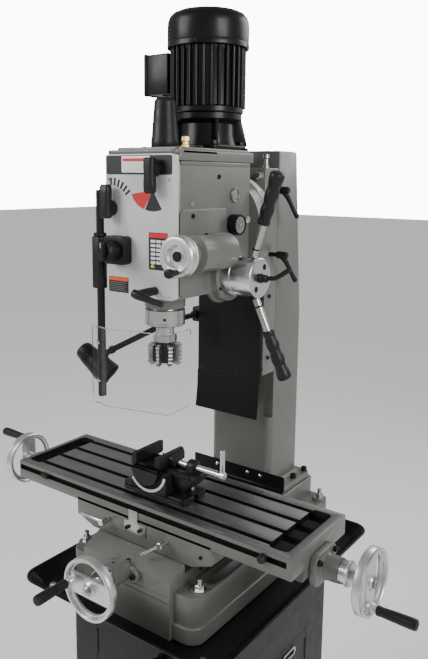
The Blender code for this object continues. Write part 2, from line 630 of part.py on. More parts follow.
# ---------------------------------------------------------------- column and slide
def make_column():
    """Square column on its bolted foot, with the head's dovetail way and the lifting screw's channel."""
    def ring(height, back):
        return [(x, y, height) for x, y in rounded((-COLUMN_X, COLUMN_X), (COLUMN_Y[0], back), 0.018)]

    body = loft([
        ring(COLUMN_FOOT + 0.005, COLUMN_Y[1]), ring(COLUMN_TAPER_Z, COLUMN_Y[1]), ring(COLUMN_TOP, COLUMN_TOP_BACK)])
    foot = rounded((-0.128, 0.128), (0.1465, 0.328), 0.022)
    shapes = [("+", body), ("+", prism(foot, "Z", COLUMN_FOOT, COLUMN_FOOT + 0.016))]
    for side in (-1, 1):
        rebate = [
            (side * WAY_FRONT_X, COLUMN_Y[0] - 0.01), (side * WAY_FRONT_X, COLUMN_Y[0]),
            (side * WAY_ROOT_X, REBATE_Y), (side * (COLUMN_X + 0.01), REBATE_Y),
            (side * (COLUMN_X + 0.01), COLUMN_Y[0] - 0.01),
        ]
        shapes.append(("-", prism(rebate, "Z", REBATE_Z, COLUMN_TOP + 0.01)))
    shapes += [
        ("-", box((-0.075, 0.075), (0.180, 0.250), (COLUMN_FOOT - 0.01, 1.800))),
        ("-", box((-0.020, 0.020), (COLUMN_Y[0] - 0.01, 0.200), (1.145, 1.790))),
        ("-", rod(0.009 + 0.001, "X", (LIFT_SCREW_Y + 0.010, CRANK_Z), -COLUMN_X - 0.01, -0.06)),
    ]
    solid("column", "casting", shapes)
    plate = [
        (0.1457, 0.935), (0.1457, 0.979), (0.1430, 0.979), (0.1430, 0.942),
        (0.1370, 0.9365), (0.1285, 0.9353), (0.1285, 0.9325), (0.1380, 0.9330),
    ]
    solid("column_chip_plate", "black_gloss", [("+", prism(plate, "X", -0.149, 0.144))])
    solid("elevation_screw", "ground_steel", [
        ("+", rod(0.011, "Z", (0.0, LIFT_SCREW_Y), 1.160, 1.660)),
        ("+", turned([(0.0, 1.575), (0.016, 1.575), (0.016, 1.585), (0.011, 1.600), (0.0, 1.600)],
                     "Z", (0.0, LIFT_SCREW_Y), FEW_SIDES)),
    ], (0.0, LIFT_SCREW_Y, 1.160))
    centre = (LIFT_SCREW_Y + 0.010, CRANK_Z)
    hub_face = -0.135
    arm = rounded((centre[0] - 0.012, centre[0] + 0.012), (CRANK_Z - 0.012, CRANK_Z + 0.087), 0.0118)
    solid("elevation_crank", "aluminium", [
        ("+", rod(0.009, "X", centre, -0.132, -0.026)),
        ("+", turned([(0.0, -0.026), (0.013, -0.026), (0.009, -0.036), (0.0, -0.036)], "X", centre, FEW_SIDES)),
        ("+", prism(arm, "X", hub_face - 0.006, hub_face + 0.004)),
        ("+", rod(0.010, "X", (centre[0], CRANK_Z + 0.075), hub_face - 0.080, hub_face)),
    ], (-COLUMN_X, centre[0], CRANK_Z))


def make_head_slide():
    """Vertical slide around the column's way, with the swivel seat in front and the lifting nut behind."""
    x = COLUMN_X
    inset = 2 * GAP
    section = [
        (-x, SLIDE_Y[0]), (x, SLIDE_Y[0]), (x, SLIDE_Y[1]), (WAY_ROOT_X + inset, SLIDE_Y[1]),
        (WAY_FRONT_X + inset, COLUMN_Y[0] - GAP), (-WAY_FRONT_X - inset, COLUMN_Y[0] - GAP),
        (-WAY_ROOT_X - inset, SLIDE_Y[1]), (-x, SLIDE_Y[1]),
    ]
    solid("head_slide", "casting", [
        ("+", prism(section, "Z", SLIDE_Z[0], SLIDE_Z[1])),
        ("+", rod(TILT_R, "Y", (0.0, TILT_Z), TILT_Y, SLIDE_Y[0] + 0.005, SIDES)),
        ("+", box((-0.0185, 0.0185), (SLIDE_Y[0] + 0.01, LIFT_SCREW_Y + 0.0145), (1.300, 1.345))),
        ("-", rod(0.011 + GAP, "Z", (0.0, LIFT_SCREW_Y), 1.290, 1.355)),
    ], (0.0, SLIDE_Y[1], SLIDE_Z[0]))
    cover = [
        (-0.098, 0.083), (0.098, 0.083), (0.098, 0.0967), (0.0955, 0.0967),
        (0.0955, 0.0855), (-0.0955, 0.0855), (-0.0955, 0.0967), (-0.098, 0.0967),
    ]
    flap = [(0.0830, 1.245), (0.0855, 1.245), (0.0838, 1.200), (0.0790, 1.160), (0.0765, 1.146), (0.0740, 1.146),
            (0.0766, 1.160), (0.0814, 1.200)]
    solid("way_cover", "black_gloss", [
        ("+", prism(cover, "Z", 1.240, 1.510)),
        ("+", prism(flap, "X", -0.097, 0.097)),
    ], (0.0, SLIDE_Y[0], 1.240))
    for name, z in (("slide_lock_lever_upper", 1.726), ("slide_lock_lever_lower", 1.567)):
        make_slide_lever(name, z)


def make_slide_lever(name, z):
    """A clamping lever on the slide's right flank: stub along X and a drooping arm."""
    y = 0.124
    start = COLUMN_X + GAP
    elbow = (start + 0.036, y, z)
    solid(name, "black_plastic", [
        ("+", rod(0.006, "X", (y, z), start, start + 0.030)),
        ("+", bent_bar([(start + 0.022, y, z), elbow, (start + 0.052, y + 0.012, z - 0.018),
                        (start + 0.060, y + 0.030, z - 0.066)], [0.008, 0.009, 0.007, 0.0045], 10)),
    ], (start, y, z))


# ---------------------------------------------------------------- head
def make_head():
    """Gearbox casting with the quill boss, the feed housings and the swivel flange behind."""
    boss_z = HEAD_Z[0] - 0.034
    shapes = [
        ("+", prism(rounded((-HEAD_X, HEAD_X), HEAD_Y, 0.012, 3), "Z", HEAD_Z[0], HEAD_Z[1])),
        ("+", rod(TILT_R, "Y", (0.0, TILT_Z), HEAD_Y[1] - 0.010, TILT_Y - GAP, SIDES)),
        ("+", rod(0.046, "Z", (0.0, SPINDLE_Y), boss_z, HEAD_Z[0] + 0.005, SIDES)),
        ("+", rod(0.058, "X", (FEED_Y, FEED_Z), HEAD_X - 0.060, 0.1185, SIDES)),
        ("+", rod(0.040, "Y", (FINE_X, FINE_Z), HEAD_Y[0], -0.122, SIDES)),
        ("-", box((-0.080, 0.080), (HEAD_Y[0] + 0.012, 0.022), (1.600, HEAD_Z[1] + 0.01))),
        ("-", rod(QUILL_BORE, "Z", (0.0, SPINDLE_Y), boss_z - 0.01, 1.610, SIDES)),
        ("-", rod(0.012 + GAP, "X", (FEED_Y, FEED_Z), 0.0, 0.130)),
        ("-", box((-0.020, 0.020), (FEED_Y - 0.016, FEED_Y + 0.030), (FEED_Z - 0.015, FEED_Z + 0.015))),
        ("-", rod(0.010 + GAP, "Y", (FINE_X, FINE_Z), -0.270, -0.200)),
    ]
    pivot = (0.0, TILT_Y, TILT_Z)
    solid("head_casting", "casting", shapes, pivot)
    lid = rounded((-HEAD_X - 0.003, HEAD_X + 0.003), (-0.258, 0.046), 0.014)
    solid("head_top_cover", "casting", [
        ("+", prism(lid, "Z", HEAD_Z[1] + GAP, COVER_TOP - 0.006)),
        ("+", prism(rounded((-HEAD_X + 0.004, HEAD_X - 0.004), (-0.236, 0.040), 0.012), "Z", 1.800, COVER_TOP)),
        ("-", rod(0.020, "Z", (0.0, SPINDLE_Y), 1.770, 1.830)),
        ("-", rod(0.016, "Z", (0.0, MOTOR_Y), 1.770, 1.830)),
        ("-", box((-0.2, 0.2), (-0.30, HEAD_Y[0] - GAP), (1.70, PANEL_Z[1] + GAP))),
    ], pivot)
    back = HEAD_Y[0] - GAP
    panel = [
        ("+", prism(rounded((-0.095, 0.095), PANEL_Z, 0.006, 3), "Y", PANEL_FRONT, back)),
        ("-", prism(rounded((-0.092, 0.092), (PANEL_Z[0] + SHEET, PANEL_Z[1] - SHEET), 0.004, 3),
                    "Y", PANEL_FRONT + SHEET, back + 0.01)),
    ]
    for spot in (SHIFT_LEFT, SHIFT_RIGHT, (-0.050, 1.598), (0.046, 1.516)):
        panel.append(("-", rod(0.008 + GAP, "Y", spot, PANEL_FRONT - 0.01, PANEL_FRONT + 0.01)))
    solid("front_panel", "casting_silver", panel, pivot)
    low = COVER_TOP + GAP
    cap = [(0.0275, low), (0.031, low), (0.031, 1.836), (0.0235, 1.917), (0.020, 1.924), (0.0, 1.924),
           (0.0, 1.920), (0.018, 1.920), (0.0275, 1.834)]
    solid("drawbar_cap", "black_plastic", [("+", turned(cap, "Z", (0.0, SPINDLE_Y)))], pivot)


def make_motor():
    """Motor on its adapter, with fan cover, terminal box and the turning rotor with its fan."""
    centre = (0.0, MOTOR_Y)
    plate = rounded((-0.078, 0.078), (MOTOR_Y - 0.078, MOTOR_Y + 0.055), 0.010)
    cone = [(0.0, 1.836), (0.070, 1.836), (0.060, 1.860), (0.072, 1.884), (0.078, 1.886), (0.078, 1.902), (0.0, 1.902)]
    pivot = (0.0, TILT_Y, TILT_Z)
    solid("motor_adapter", "black_gloss", [
        ("+", prism(plate, "Z", MOTOR_PLATE[0], MOTOR_PLATE[1])),
        ("+", turned(cone, "Z", centre)),
        ("-", rod(0.045, "Z", centre, 1.850, 1.910)),
        ("-", rod(0.0135, "Z", centre, 1.810, 1.860)),
    ], pivot)
    z0, z1 = MOTOR_BODY
    shell = tube(0.084, 0.066, "Z", centre, z0, z1)
    solid("motor_body", "black_gloss", [("+", shell)], pivot)
    low = z1 + GAP
    cover = [(0.091, low), (FAN_COVER_R, low), (FAN_COVER_R, 2.128), (0.082, MOTOR_TOP), (0.0, MOTOR_TOP),
             (0.0, 2.139), (0.080, 2.139), (0.091, 2.126)]
    solid("motor_fan_cover", "black_gloss", [("+", turned(cover, "Z", centre))], pivot)
    box_x = (-0.160, -0.0843)
    seat = rod(0.084 + GAP, "Z", centre, 1.90, 2.08, SIDES)
    solid("junction_box", "black_gloss", [
        ("+", box(box_x, (MOTOR_Y - 0.046, MOTOR_Y + 0.040), (1.948, 2.046))),
        ("+", box((-0.150, -0.060), (MOTOR_Y - 0.034, MOTOR_Y + 0.030), (1.958, 2.036))),
        ("-", seat),
    ], pivot)
    rotor = [
        (0.0, 1.706), (0.015, 1.706), (0.015, 1.726), (0.012, 1.726), (0.012, 1.915), (0.056, 1.915),
        (0.056, 2.035), (0.012, 2.035), (0.012, 2.060), (0.070, 2.060), (0.070, 2.068), (0.012, 2.068),
        (0.012, 2.085), (0.0, 2.085),
    ]
    solid("motor_rotor", "dark_steel", [
        ("+", turned(rotor, "Z", centre, 24)),
        ("+", box((-0.068, 0.068), (MOTOR_Y - 0.002, MOTOR_Y + 0.002), (2.066, 2.100))),
        ("+", box((-0.002, 0.002), (MOTOR_Y - 0.068, MOTOR_Y + 0.068), (2.066, 2.100))),
    ], (0.0, MOTOR_Y, 1.700))
    shaft = (0.030, -0.050)
    profile = [
        (0.0, 1.605), (0.010, 1.605), (0.010, 1.640), (0.018, 1.640), (0.018, 1.662), (0.010, 1.662),
        (0.010, 1.708), (0.029, 1.708), (0.029, 1.724), (0.010, 1.724), (0.010, 1.780), (0.0, 1.780),
    ]
    solid("gear_shaft", "dark_steel", [("+", turned(profile, "Z", shaft, 24))], (*shaft, 1.605))


def make_quill():
    """Quill with its end collar, the spindle inside it and the face mill on the spindle's nose."""
    centre = (0.0, SPINDLE_Y)
    z_top = 1.760
    inner = 0.0280
    quill = [
        (inner, COLLAR_Z[0]), (COLLAR_R, COLLAR_Z[0]), (COLLAR_R, COLLAR_Z[1]), (QUILL_R, COLLAR_Z[1]),
        (QUILL_R, 1.600), (0.0345, 1.602), (0.0345, 1.650), (inner, 1.650),
    ]
    solid("quill", "ground_steel", [("+", turned(quill, "Z", centre))], (0.0, SPINDLE_Y, COLLAR_Z[0]))
    spindle = [
        (0.0, CUTTER_Z[0] + 0.012), (0.010, CUTTER_Z[0] + 0.012), (0.010, CUTTER_Z[1] + GAP), (0.021, CUTTER_Z[1] + GAP),
        (0.021, 1.420), (0.026, 1.4275), (0.026, 1.440), (0.020, 1.442), (0.020, 1.640), (0.0165, 1.645),
        (0.0165, z_top), (0.0, z_top),
    ]
    solid("spindle", "ground_steel", [("+", turned(spindle, "Z", centre, 24))], (0.0, SPINDLE_Y, COLLAR_Z[0]))
    cutter = [("+", tube(0.026, 0.010 + GAP, "Z", centre, CUTTER_Z[0] + 0.004, CUTTER_Z[1], 24))]
    for k in range(6):
        tooth = box((0.022, 0.040), (SPINDLE_Y - 0.006, SPINDLE_Y + 0.006), (CUTTER_Z[0], CUTTER_Z[1] - 0.003))
        cutter.append(("+", turn_shape(tooth, 60.0 * k, "Z", (0.0, SPINDLE_Y, 0.0))))
    solid("face_mill", "dark_steel", cutter, (0.0, SPINDLE_Y, CUTTER_Z[0]))


def make_feeds():
    """Coarse feed hub with two handles and its clutch lever, and the fine feed wheel."""
    centre = (FEED_Y, FEED_Z)
    start = 0.1188
    face = FEED_FACE_X
    drum = [
        (0.0, 0.010), (0.012, 0.010), (0.012, start), (0.043, start), (0.043, 0.163), (0.045, 0.165),
        (0.045, face - 0.003), (0.043, face), (0.0, face),
    ]
    pin = (0.0, FEED_Y, FEED_Z)
    hub = [("+", turned(drum, "X", centre)), ("+", rod(0.014, "X", centre, -0.016, 0.016))]
    for name, side, reach in (("feed_handle_upper", 1, 0.2325), ("feed_handle_lower", -1, 0.2290)):
        spoke = Vector((0.0, -0.1200, 0.9928)) * side
        root = Vector((face - 0.015, FEED_Y, FEED_Z)) + spoke * 0.0457
        tip = Vector((FEED_TIP_X, FEED_Y, FEED_Z)) + spoke * reach
        spans = (0.015, 0.40, 0.41, 0.46, 0.56, 0.66, 0.78, 0.90, 1.0)
        radii = (0.0080, 0.0080, 0.0110, 0.0140, 0.0125, 0.0140, 0.0130, 0.0155, 0.0100)
        points = [root.lerp(tip, span) for span in spans]
        solid(name, "black_plastic", [("+", bent_bar(points, radii, 12))], pin)
    solid("feed_hub", "aluminium", hub, pin)
    lever_root = face + GAP
    solid("clutch_lever", "black_plastic", [
        ("+", rod(0.009, "X", centre, lever_root, lever_root + 0.018)),
        ("+", bent_bar([(lever_root + 0.010, FEED_Y, FEED_Z), (lever_root + 0.030, FEED_Y + 0.012, FEED_Z + 0.002),
                        (lever_root + 0.058, FEED_Y + 0.030, FEED_Z + 0.022)], [0.005, 0.0055, 0.0045], 8)),
    ], (lever_root, FEED_Y, FEED_Z))
    fine = (FINE_X, FINE_Z)
    front = -0.302
    barrel = HEAD_Y[0] - GAP
    wheel = [
        (0.0, front + 0.006), (0.018, front + 0.006), (0.022, front), (0.038, front), (0.043, front + 0.005),
        (0.043, front + 0.022), (0.036, front + 0.026), (0.014, front + 0.026), (0.014, barrel), (0.010, barrel),
        (0.010, -0.205), (0.0, -0.205),
    ]
    solid("fine_feed_wheel", "aluminium", [
        ("+", turned(wheel, "Y", fine)),
        ("+", rod(0.010, "Y", (FINE_X + 0.004, FINE_Z - 0.031), front - 0.030, front + 0.010, 12)),
    ], (FINE_X, front, FINE_Z))


def make_controls():
    """Shift levers, rotary switch knob and quill lock lever on the front panel."""
    for name, spot, sign in (("shift_lever_left", SHIFT_LEFT, 1), ("shift_lever_right", SHIFT_RIGHT, -1)):
        x, z = spot
        front = PANEL_FRONT - GAP
        paddle = rounded((x - 0.014, x + 0.014), sorted((z - sign * 0.022, z + sign * 0.052)), 0.010, 3)
        solid(name, "black_plastic", [
            ("+", rod(0.008, "Y", (x, z), PANEL_FRONT - 0.006, PANEL_FRONT + 0.012)),
            ("+", rod(0.017, "Y", (x, z), front - 0.014, front)),
            ("+", prism(paddle, "Y", front - 0.030, front - 0.008)),
        ], (x, front, z))
    switch = (-0.050, 1.598)
    front = PANEL_FRONT - 0.026
    solid("switch_knob", "black_plastic", [
        ("+", rod(0.008, "Y", switch, front - 0.002, PANEL_FRONT + 0.012)),
        ("+", rod(0.023, "Y", switch, front - 0.030, front, 24)),
        ("+", box((switch[0] - 0.005, switch[0] + 0.005), (front - 0.040, front - 0.02),
                  (switch[1] - 0.021, switch[1] + 0.021))),
    ], (switch[0], front, switch[1]))
    lock = (0.046, 1.516)
    end = PANEL_FRONT - 0.060
    solid("quill_lock_lever", "black_plastic", [
        ("+", rod(0.008, "Y", lock, end + 0.004, PANEL_FRONT + 0.012)),
        ("+", bent_bar([(lock[0] - 0.008, end, lock[1] + 0.002), (lock[0] + 0.004, end, lock[1] - 0.001),
                        (lock[0] + 0.064, end + 0.008, lock[1] - 0.016)], [0.009, 0.010, 0.0055], 10)),
    ], (lock[0], PANEL_FRONT, lock[1]))


def make_guard_and_lamp():
    """Swinging cutter guard on the head's left front corner, and the work lamp under the head."""
    spot = (GUARD_X, GUARD_Y)
    sleeve_z = (1.506, 1.622)
    solid("guard_clamp", "black_plastic", [
        ("+", prism(rounded((GUARD_X - 0.016, GUARD_X + 0.016), (GUARD_Y - 0.016, GUARD_Y + 0.016), 0.007, 2),
                    "Z", sleeve_z[0], sleeve_z[1])),
        ("+", box((GUARD_X, -0.0953), (GUARD_Y - 0.006, GUARD_Y + 0.013), (1.530, 1.600))),
        ("-", rod(GUARD_ROD_R + GAP, "Z", spot, sleeve_z[0] - 0.01, sleeve_z[1] + 0.01)),
    ], (0.0, TILT_Y, TILT_Z))
    pivot = (GUARD_X, GUARD_Y, SHIELD_Z[0])
    solid("guard_rod", "black_plastic", [("+", rod(GUARD_ROD_R, "Z", spot, 1.251, 1.726))], pivot)
    back = GUARD_Y - GUARD_ROD_R - GAP
    thick = 0.003
    bends = [(-0.140, back), (-0.112, back), (-0.090, -0.2720), (0.0615, -0.2360), (0.0560, -0.1530)]
    outer = [(-0.140, back - thick), (-0.1128, back - thick), (-0.0899, -0.2751), (0.0641, -0.2385), (0.0590, -0.1530)]
    sheet = bends + outer[::-1]
    solid("guard_shield", "clear", [("+", prism(sheet, "Z", SHIELD_Z[0], SHIELD_Z[1]))], pivot)
    make_lamp()


def make_lamp():
    """Work lamp: a bracket on the slide's left flank, a cranked arm that swivels in it, and the shade."""
    flank = -COLUMN_X - GAP
    root = (-0.115, 0.098, 1.391)
    solid("lamp_bracket", "black_plastic", [
        ("+", box((-0.129, flank), (root[1], root[1] + 0.034), (root[2] - 0.020, root[2] + 0.020))),
    ], root)
    start = Vector(root) - Vector((0.0, GAP, 0.0))
    elbow = Vector((-0.115, -0.010, 1.390))
    crown = Vector((-0.280, -0.168, 1.326))
    aim = Vector((0.776, 0.175, -0.606)).normalized()
    side = (Vector((0.0, 0.0, 1.0)) + aim * 0.606).normalized()
    seat = crown + aim * 0.058 + side * 0.0300
    end = seat + (elbow - seat).normalized() * 0.014
    solid("lamp_arm", "black_plastic", [
        ("+", bent_bar([start, elbow + Vector((0.0, 0.012, 0.0)), elbow + (end - elbow) * 0.08, end],
                       [LAMP_ARM_R] * 4, 12)),
    ], start)
    direction = (end - elbow).normalized()
    neck = bent_bar([end + direction * GAP, end + direction * 0.019], [LAMP_ARM_R] * 2, 12)
    spans = (0.0, 0.006, 0.060, 0.104)
    radii = (0.015, 0.0225, 0.0280, 0.0330)
    shade = bent_bar([crown + aim * span for span in spans], radii, 20)
    hollow = bent_bar([crown + aim * span for span in (0.050, 0.120)], (0.0240, 0.0310), 20)
    solid("lamp_head", "black_plastic", [("+", shade), ("+", neck), ("-", hollow)], end)


# ---------------------------------------------------------------- assembly
JOINT_PARENTS = {
    "cross_handle": "cross_handwheel", "cross_handwheel": "cross_leadscrew", "cross_leadscrew": "base_casting",
    "saddle": "base_casting", "saddle_lock_lever_left": "saddle", "saddle_lock_lever_right": "saddle",
    "table": "saddle", "table_bracket_left": "table", "table_bracket_right": "table", "table_leadscrew": "table",
    "table_handwheel_left": "table_leadscrew", "table_handwheel_right": "table_leadscrew",
    "table_handle_left": "table_handwheel_left", "table_handle_right": "table_handwheel_right",
    "vise_base": "table", "vise_body": "vise_base", "vise_moving_jaw": "vise_body", "vise_screw": "vise_moving_jaw",
    "stand_front_door": "stand_cabinet", "stand_side_door": "stand_cabinet", "column": "base_casting",
    "elevation_screw": "column", "elevation_crank": "column", "head_slide": "column", "way_cover": "head_slide",
    "slide_lock_lever_upper": "head_slide", "slide_lock_lever_lower": "head_slide", "head_casting": "head_slide",
    "head_top_cover": "head_casting", "front_panel": "head_casting", "drawbar_cap": "head_top_cover",
    "motor_adapter": "head_top_cover", "motor_body": "motor_adapter", "motor_fan_cover": "motor_body",
    "junction_box": "motor_body", "motor_rotor": "motor_body", "gear_shaft": "head_casting",
    "quill": "head_casting", "spindle": "quill", "face_mill": "spindle", "feed_hub": "head_casting",
    "feed_handle_upper": "feed_hub", "feed_handle_lower": "feed_hub", "clutch_lever": "feed_hub",
    "fine_feed_wheel": "head_casting", "quill_lock_lever": "front_panel", "shift_lever_left": "front_panel",
    "shift_lever_right": "front_panel", "switch_knob": "front_panel", "guard_clamp": "head_casting",
    "guard_rod": "guard_clamp", "guard_shield": "guard_rod", "lamp_bracket": "head_slide",
    "lamp_arm": "lamp_bracket", "lamp_head": "lamp_arm",
}


def assemble():
    """Parent each piece to the one that carries it, keeping its place in the frame."""
    places = {item.name: item.location.copy() for item in bpy.data.objects}
    for child_name, parent_name in JOINT_PARENTS.items():
        child = bpy.data.objects[child_name]
        child.parent = bpy.data.objects[parent_name]
        child.location = places[child_name] - places[parent_name]


def main():
    """Build every sub-part, then put them together."""
    clear_scene()
    guides = bpy.data.collections.get(GUIDES) or bpy.data.collections.new(GUIDES)
    if GUIDES not in bpy.context.scene.collection.children:
        bpy.context.scene.collection.children.link(guides)
    make_stand()
    make_base()
    make_cross_feed()
    make_saddle()
    make_table()
    make_vise()
    make_column()
    make_head_slide()
    make_head()
    make_motor()
    make_quill()
    make_feeds()
    make_controls()
    make_guard_and_lamp()
    assemble()


main()
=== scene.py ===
"""Looks of the vertical milling machine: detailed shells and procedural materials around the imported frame.

Metres, +Z up, the operator on the -Y side, +X to the operator's right, as in the CAD part.
"""
import math
import random

import bmesh
import bpy
from mathutils import Matrix, Vector


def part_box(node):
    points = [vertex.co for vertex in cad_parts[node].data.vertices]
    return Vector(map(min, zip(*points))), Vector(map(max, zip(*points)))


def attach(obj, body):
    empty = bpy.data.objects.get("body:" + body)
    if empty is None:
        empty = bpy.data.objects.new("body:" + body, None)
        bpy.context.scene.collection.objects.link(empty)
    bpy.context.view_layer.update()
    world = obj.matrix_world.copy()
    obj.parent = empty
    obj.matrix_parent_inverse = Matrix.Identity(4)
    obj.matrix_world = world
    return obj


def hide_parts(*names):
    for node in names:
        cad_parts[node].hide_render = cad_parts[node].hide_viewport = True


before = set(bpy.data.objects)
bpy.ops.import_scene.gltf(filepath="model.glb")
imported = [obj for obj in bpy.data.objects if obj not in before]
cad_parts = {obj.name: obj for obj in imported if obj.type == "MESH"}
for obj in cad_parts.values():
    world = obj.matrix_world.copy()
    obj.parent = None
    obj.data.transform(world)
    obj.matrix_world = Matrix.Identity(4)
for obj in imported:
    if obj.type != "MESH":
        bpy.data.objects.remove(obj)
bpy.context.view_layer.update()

ROUND = 48                   # sides of a round piece
FINE = 24                    # sides of a small round piece
CLEAR = 0.0003               # gap between pieces that touch
FRONT_HINGE = (-0.132, -0.273)   # x and y of the front door's hinge axis
SIDE_HINGE = (0.213, 0.161)      # x and y of the side door's hinge axis
HINGE_RADIUS = 0.0026            # hinge barrels of both doors

MACHINE = {name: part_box(name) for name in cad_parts}


# ---------------------------------------------------------------- shape tools
def along(axis, first, second, position):
    """A point at a position along an axis; first and second are its other two coordinates in order."""
    if axis == "X":
        return Vector((position, first, second))
    if axis == "Y":
        return Vector((first, position, second))
    return Vector((first, second, position))


def loft(rings, closed=False):
    """A skin through rings of points: capped at both ends, or joined end to end."""
    shape = bmesh.new()
    loops = [[shape.verts.new(point) for point in ring] for ring in rings]
    pairs = list(zip(loops, loops[1:]))
    if closed:
        pairs.append((loops[-1], loops[0]))
    count = len(rings[0])
    for lower, upper in pairs:
        for i in range(count):
            j = (i + 1) % count
            shape.faces.new((lower[i], lower[j], upper[j], upper[i]))
    if not closed:
        shape.faces.new(loops[0])
        shape.faces.new(loops[-1])
    bmesh.ops.recalc_face_normals(shape, faces=shape.faces)
    return shape


def prism(outline, axis, low, high):
    """An outline pushed along an axis."""
    return loft([[along(axis, a, b, position) for a, b in outline] for position in (low, high)])


def box(x, y, z):
    """A block between two limits on each axis."""
    return prism([(x[0], y[0]), (x[1], y[0]), (x[1], y[1]), (x[0], y[1])], "Z", z[0], z[1])


def rounded(x, y, radius, steps=8):
    """The outline of a rectangle with rounded corners."""
    corners = ((x[1] - radius, y[1] - radius), (x[0] + radius, y[1] - radius),
        (x[0] + radius, y[0] + radius), (x[1] - radius, y[0] + radius))
    points = []
    for quarter, (cx, cy) in enumerate(corners):
        for i in range(steps + 1):
            angle = 0.5 * math.pi * (quarter + i / steps)
            points.append((cx + radius * math.cos(angle), cy + radius * math.sin(angle)))
    return points


def arc_points(centre, radius, start, end, steps):
    """Points on a circle from a start angle to an end angle, in degrees."""
    points = []
    for k in range(steps + 1):
        angle = math.radians(start + (end - start) * k / steps)
        points.append((centre[0] + radius * math.cos(angle), centre[1] + radius * math.sin(angle)))
    return points


def turned(profile, axis, centre, steps=ROUND):
    """A profile of (radius, position) points turned about an axis; radius 0 closes the ring beside it."""
    shape = bmesh.new()
    rings = []
    for radius, position in profile:
        ring = []
        for i in range(steps if radius > 0.0 else 0):
            angle = 2.0 * math.pi * i / steps
            first = centre[0] + radius * math.cos(angle)
            second = centre[1] + radius * math.sin(angle)
            ring.append(shape.verts.new(along(axis, first, second, position)))
        rings.append(ring)
    if profile[0][0] > 0.0:
        rings.append(rings[0])
    for lower, upper in zip(rings, rings[1:]):
        if lower and upper:
            for i in range(steps):
                j = (i + 1) % steps
                shape.faces.new((lower[i], lower[j], upper[j], upper[i]))
        elif lower or upper:
            shape.faces.new(lower or upper)
    bmesh.ops.recalc_face_normals(shape, faces=shape.faces)
    return shape


def rod(radius, axis, centre, low, high, steps=FINE):
    """A plain round bar."""
    return turned([(0.0, low), (radius, low), (radius, high), (0.0, high)], axis, centre, steps)


def smooth_path(points, radii, per_span=6):
    """Points and radii on a smooth curve through the given ones."""
    path = [Vector(point) for point in points]
    ends = [path[0] * 2 - path[1]] + path + [path[-1] * 2 - path[-2]]
    sizes = [radii[0]] + list(radii) + [radii[-1]]
    made = []
    for i in range(1, len(path)):
        for k in range(per_span):
            t = k / per_span
            weights = (-0.5 * t + t * t - 0.5 * t ** 3, 1 - 2.5 * t * t + 1.5 * t ** 3,
                0.5 * t + 2 * t * t - 1.5 * t ** 3, -0.5 * t * t + 0.5 * t ** 3)
            point = sum((ends[i - 1 + n] * w for n, w in enumerate(weights)), Vector())
            size = sum(sizes[i - 1 + n] * w for n, w in enumerate(weights))
            made.append((point, size))
    made.append((path[-1], radii[-1]))
    return made


def sweep(points, radii, steps=FINE, per_span=6, flat=1.0):
    """A round bar along a smooth curve, with a radius at each point; flat squeezes it across."""
    made = smooth_path(points, radii, per_span) if per_span > 1 else list(zip(map(Vector, points), radii))
    rings = []
    side = None
    for i, (point, size) in enumerate(made):
        before = made[max(i - 1, 0)][0]
        after = made[min(i + 1, len(made) - 1)][0]
        direction = (after - before).normalized()
        if side is None:
            guide = Vector((0.0, 0.0, 1.0)) if abs(direction.z) < 0.9 else Vector((1.0, 0.0, 0.0))
            side = direction.cross(guide)
        side = (side - direction * side.dot(direction)).normalized()
        up = direction.cross(side)
        rings.append([point + size * (math.cos(2 * math.pi * k / steps) * side * flat
                                      + math.sin(2 * math.pi * k / steps) * up) for k in range(steps)])
    return loft(rings)


def soften(shape, width, segments=3, angle=28.0):
    """Round every sharp edge of a shape."""
    bmesh.ops.remove_doubles(shape, verts=shape.verts, dist=0.00001)
    limit = math.radians(angle)
    sharp = [edge for edge in shape.edges if len(edge.link_faces) == 2 and edge.calc_face_angle(0.0) > limit]
    bmesh.ops.bevel(shape, geom=sharp, offset=width, offset_type="OFFSET", segments=segments, profile=0.5,
        affect="EDGES", clamp_overlap=True)
    return shape


def with_cuts(shape, cutters, operation="DIFFERENCE"):
    """A shape after exact booleans with others."""
    made = []
    for item in [shape] + list(cutters):
        mesh = bpy.data.meshes.new("cut")
        item.to_mesh(mesh)
        item.free()
        thing = bpy.data.objects.new("cut", mesh)
        bpy.context.scene.collection.objects.link(thing)
        made.append(thing)
    for tool in made[1:]:
        step = made[0].modifiers.new("cut", "BOOLEAN")
        step.operation = operation
        step.solver = "EXACT"
        step.object = tool
    result = bmesh.new()
    result.from_object(made[0], bpy.context.evaluated_depsgraph_get())
    for thing in made:
        mesh = thing.data
        bpy.data.objects.remove(thing)
        bpy.data.meshes.remove(mesh)
    bmesh.ops.dissolve_limit(result, angle_limit=math.radians(0.5), verts=result.verts, edges=result.edges)
    return result


def turn(shape, degrees, axis, centre):
    """Turn a shape about an axis through a point."""
    matrix = Matrix.Rotation(math.radians(degrees), 4, axis)
    bmesh.ops.rotate(shape, cent=Vector(centre), matrix=matrix, verts=shape.verts)
    return shape


def piece(name, body, shapes, origin=(0.0, 0.0, 0.0), replaces=(), angle=32.0):
    """One visible piece made of shapes, each a (shape, material) pair, that rides on a CAD body."""
    mesh = bpy.data.meshes.new(name)
    whole = bmesh.new()
    looks = []
    for shape, look in shapes:
        if look not in looks:
            looks.append(look)
        for face in shape.faces:
            face.material_index = looks.index(look)
        part = bpy.data.meshes.new("part")
        shape.to_mesh(part)
        shape.free()
        whole.from_mesh(part)
        bpy.data.meshes.remove(part)
    bmesh.ops.translate(whole, vec=-Vector(origin), verts=whole.verts)
    whole.to_mesh(mesh)
    whole.free()
    for look in looks:
        mesh.materials.append(look)
    mesh.shade_smooth()
    mesh.set_sharp_from_angle(angle=math.radians(angle))
    made = bpy.data.objects.new(name, mesh)
    made.location = origin
    bpy.context.scene.collection.objects.link(made)
    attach(made, body)
    if replaces:
        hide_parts(*replaces)
    return made


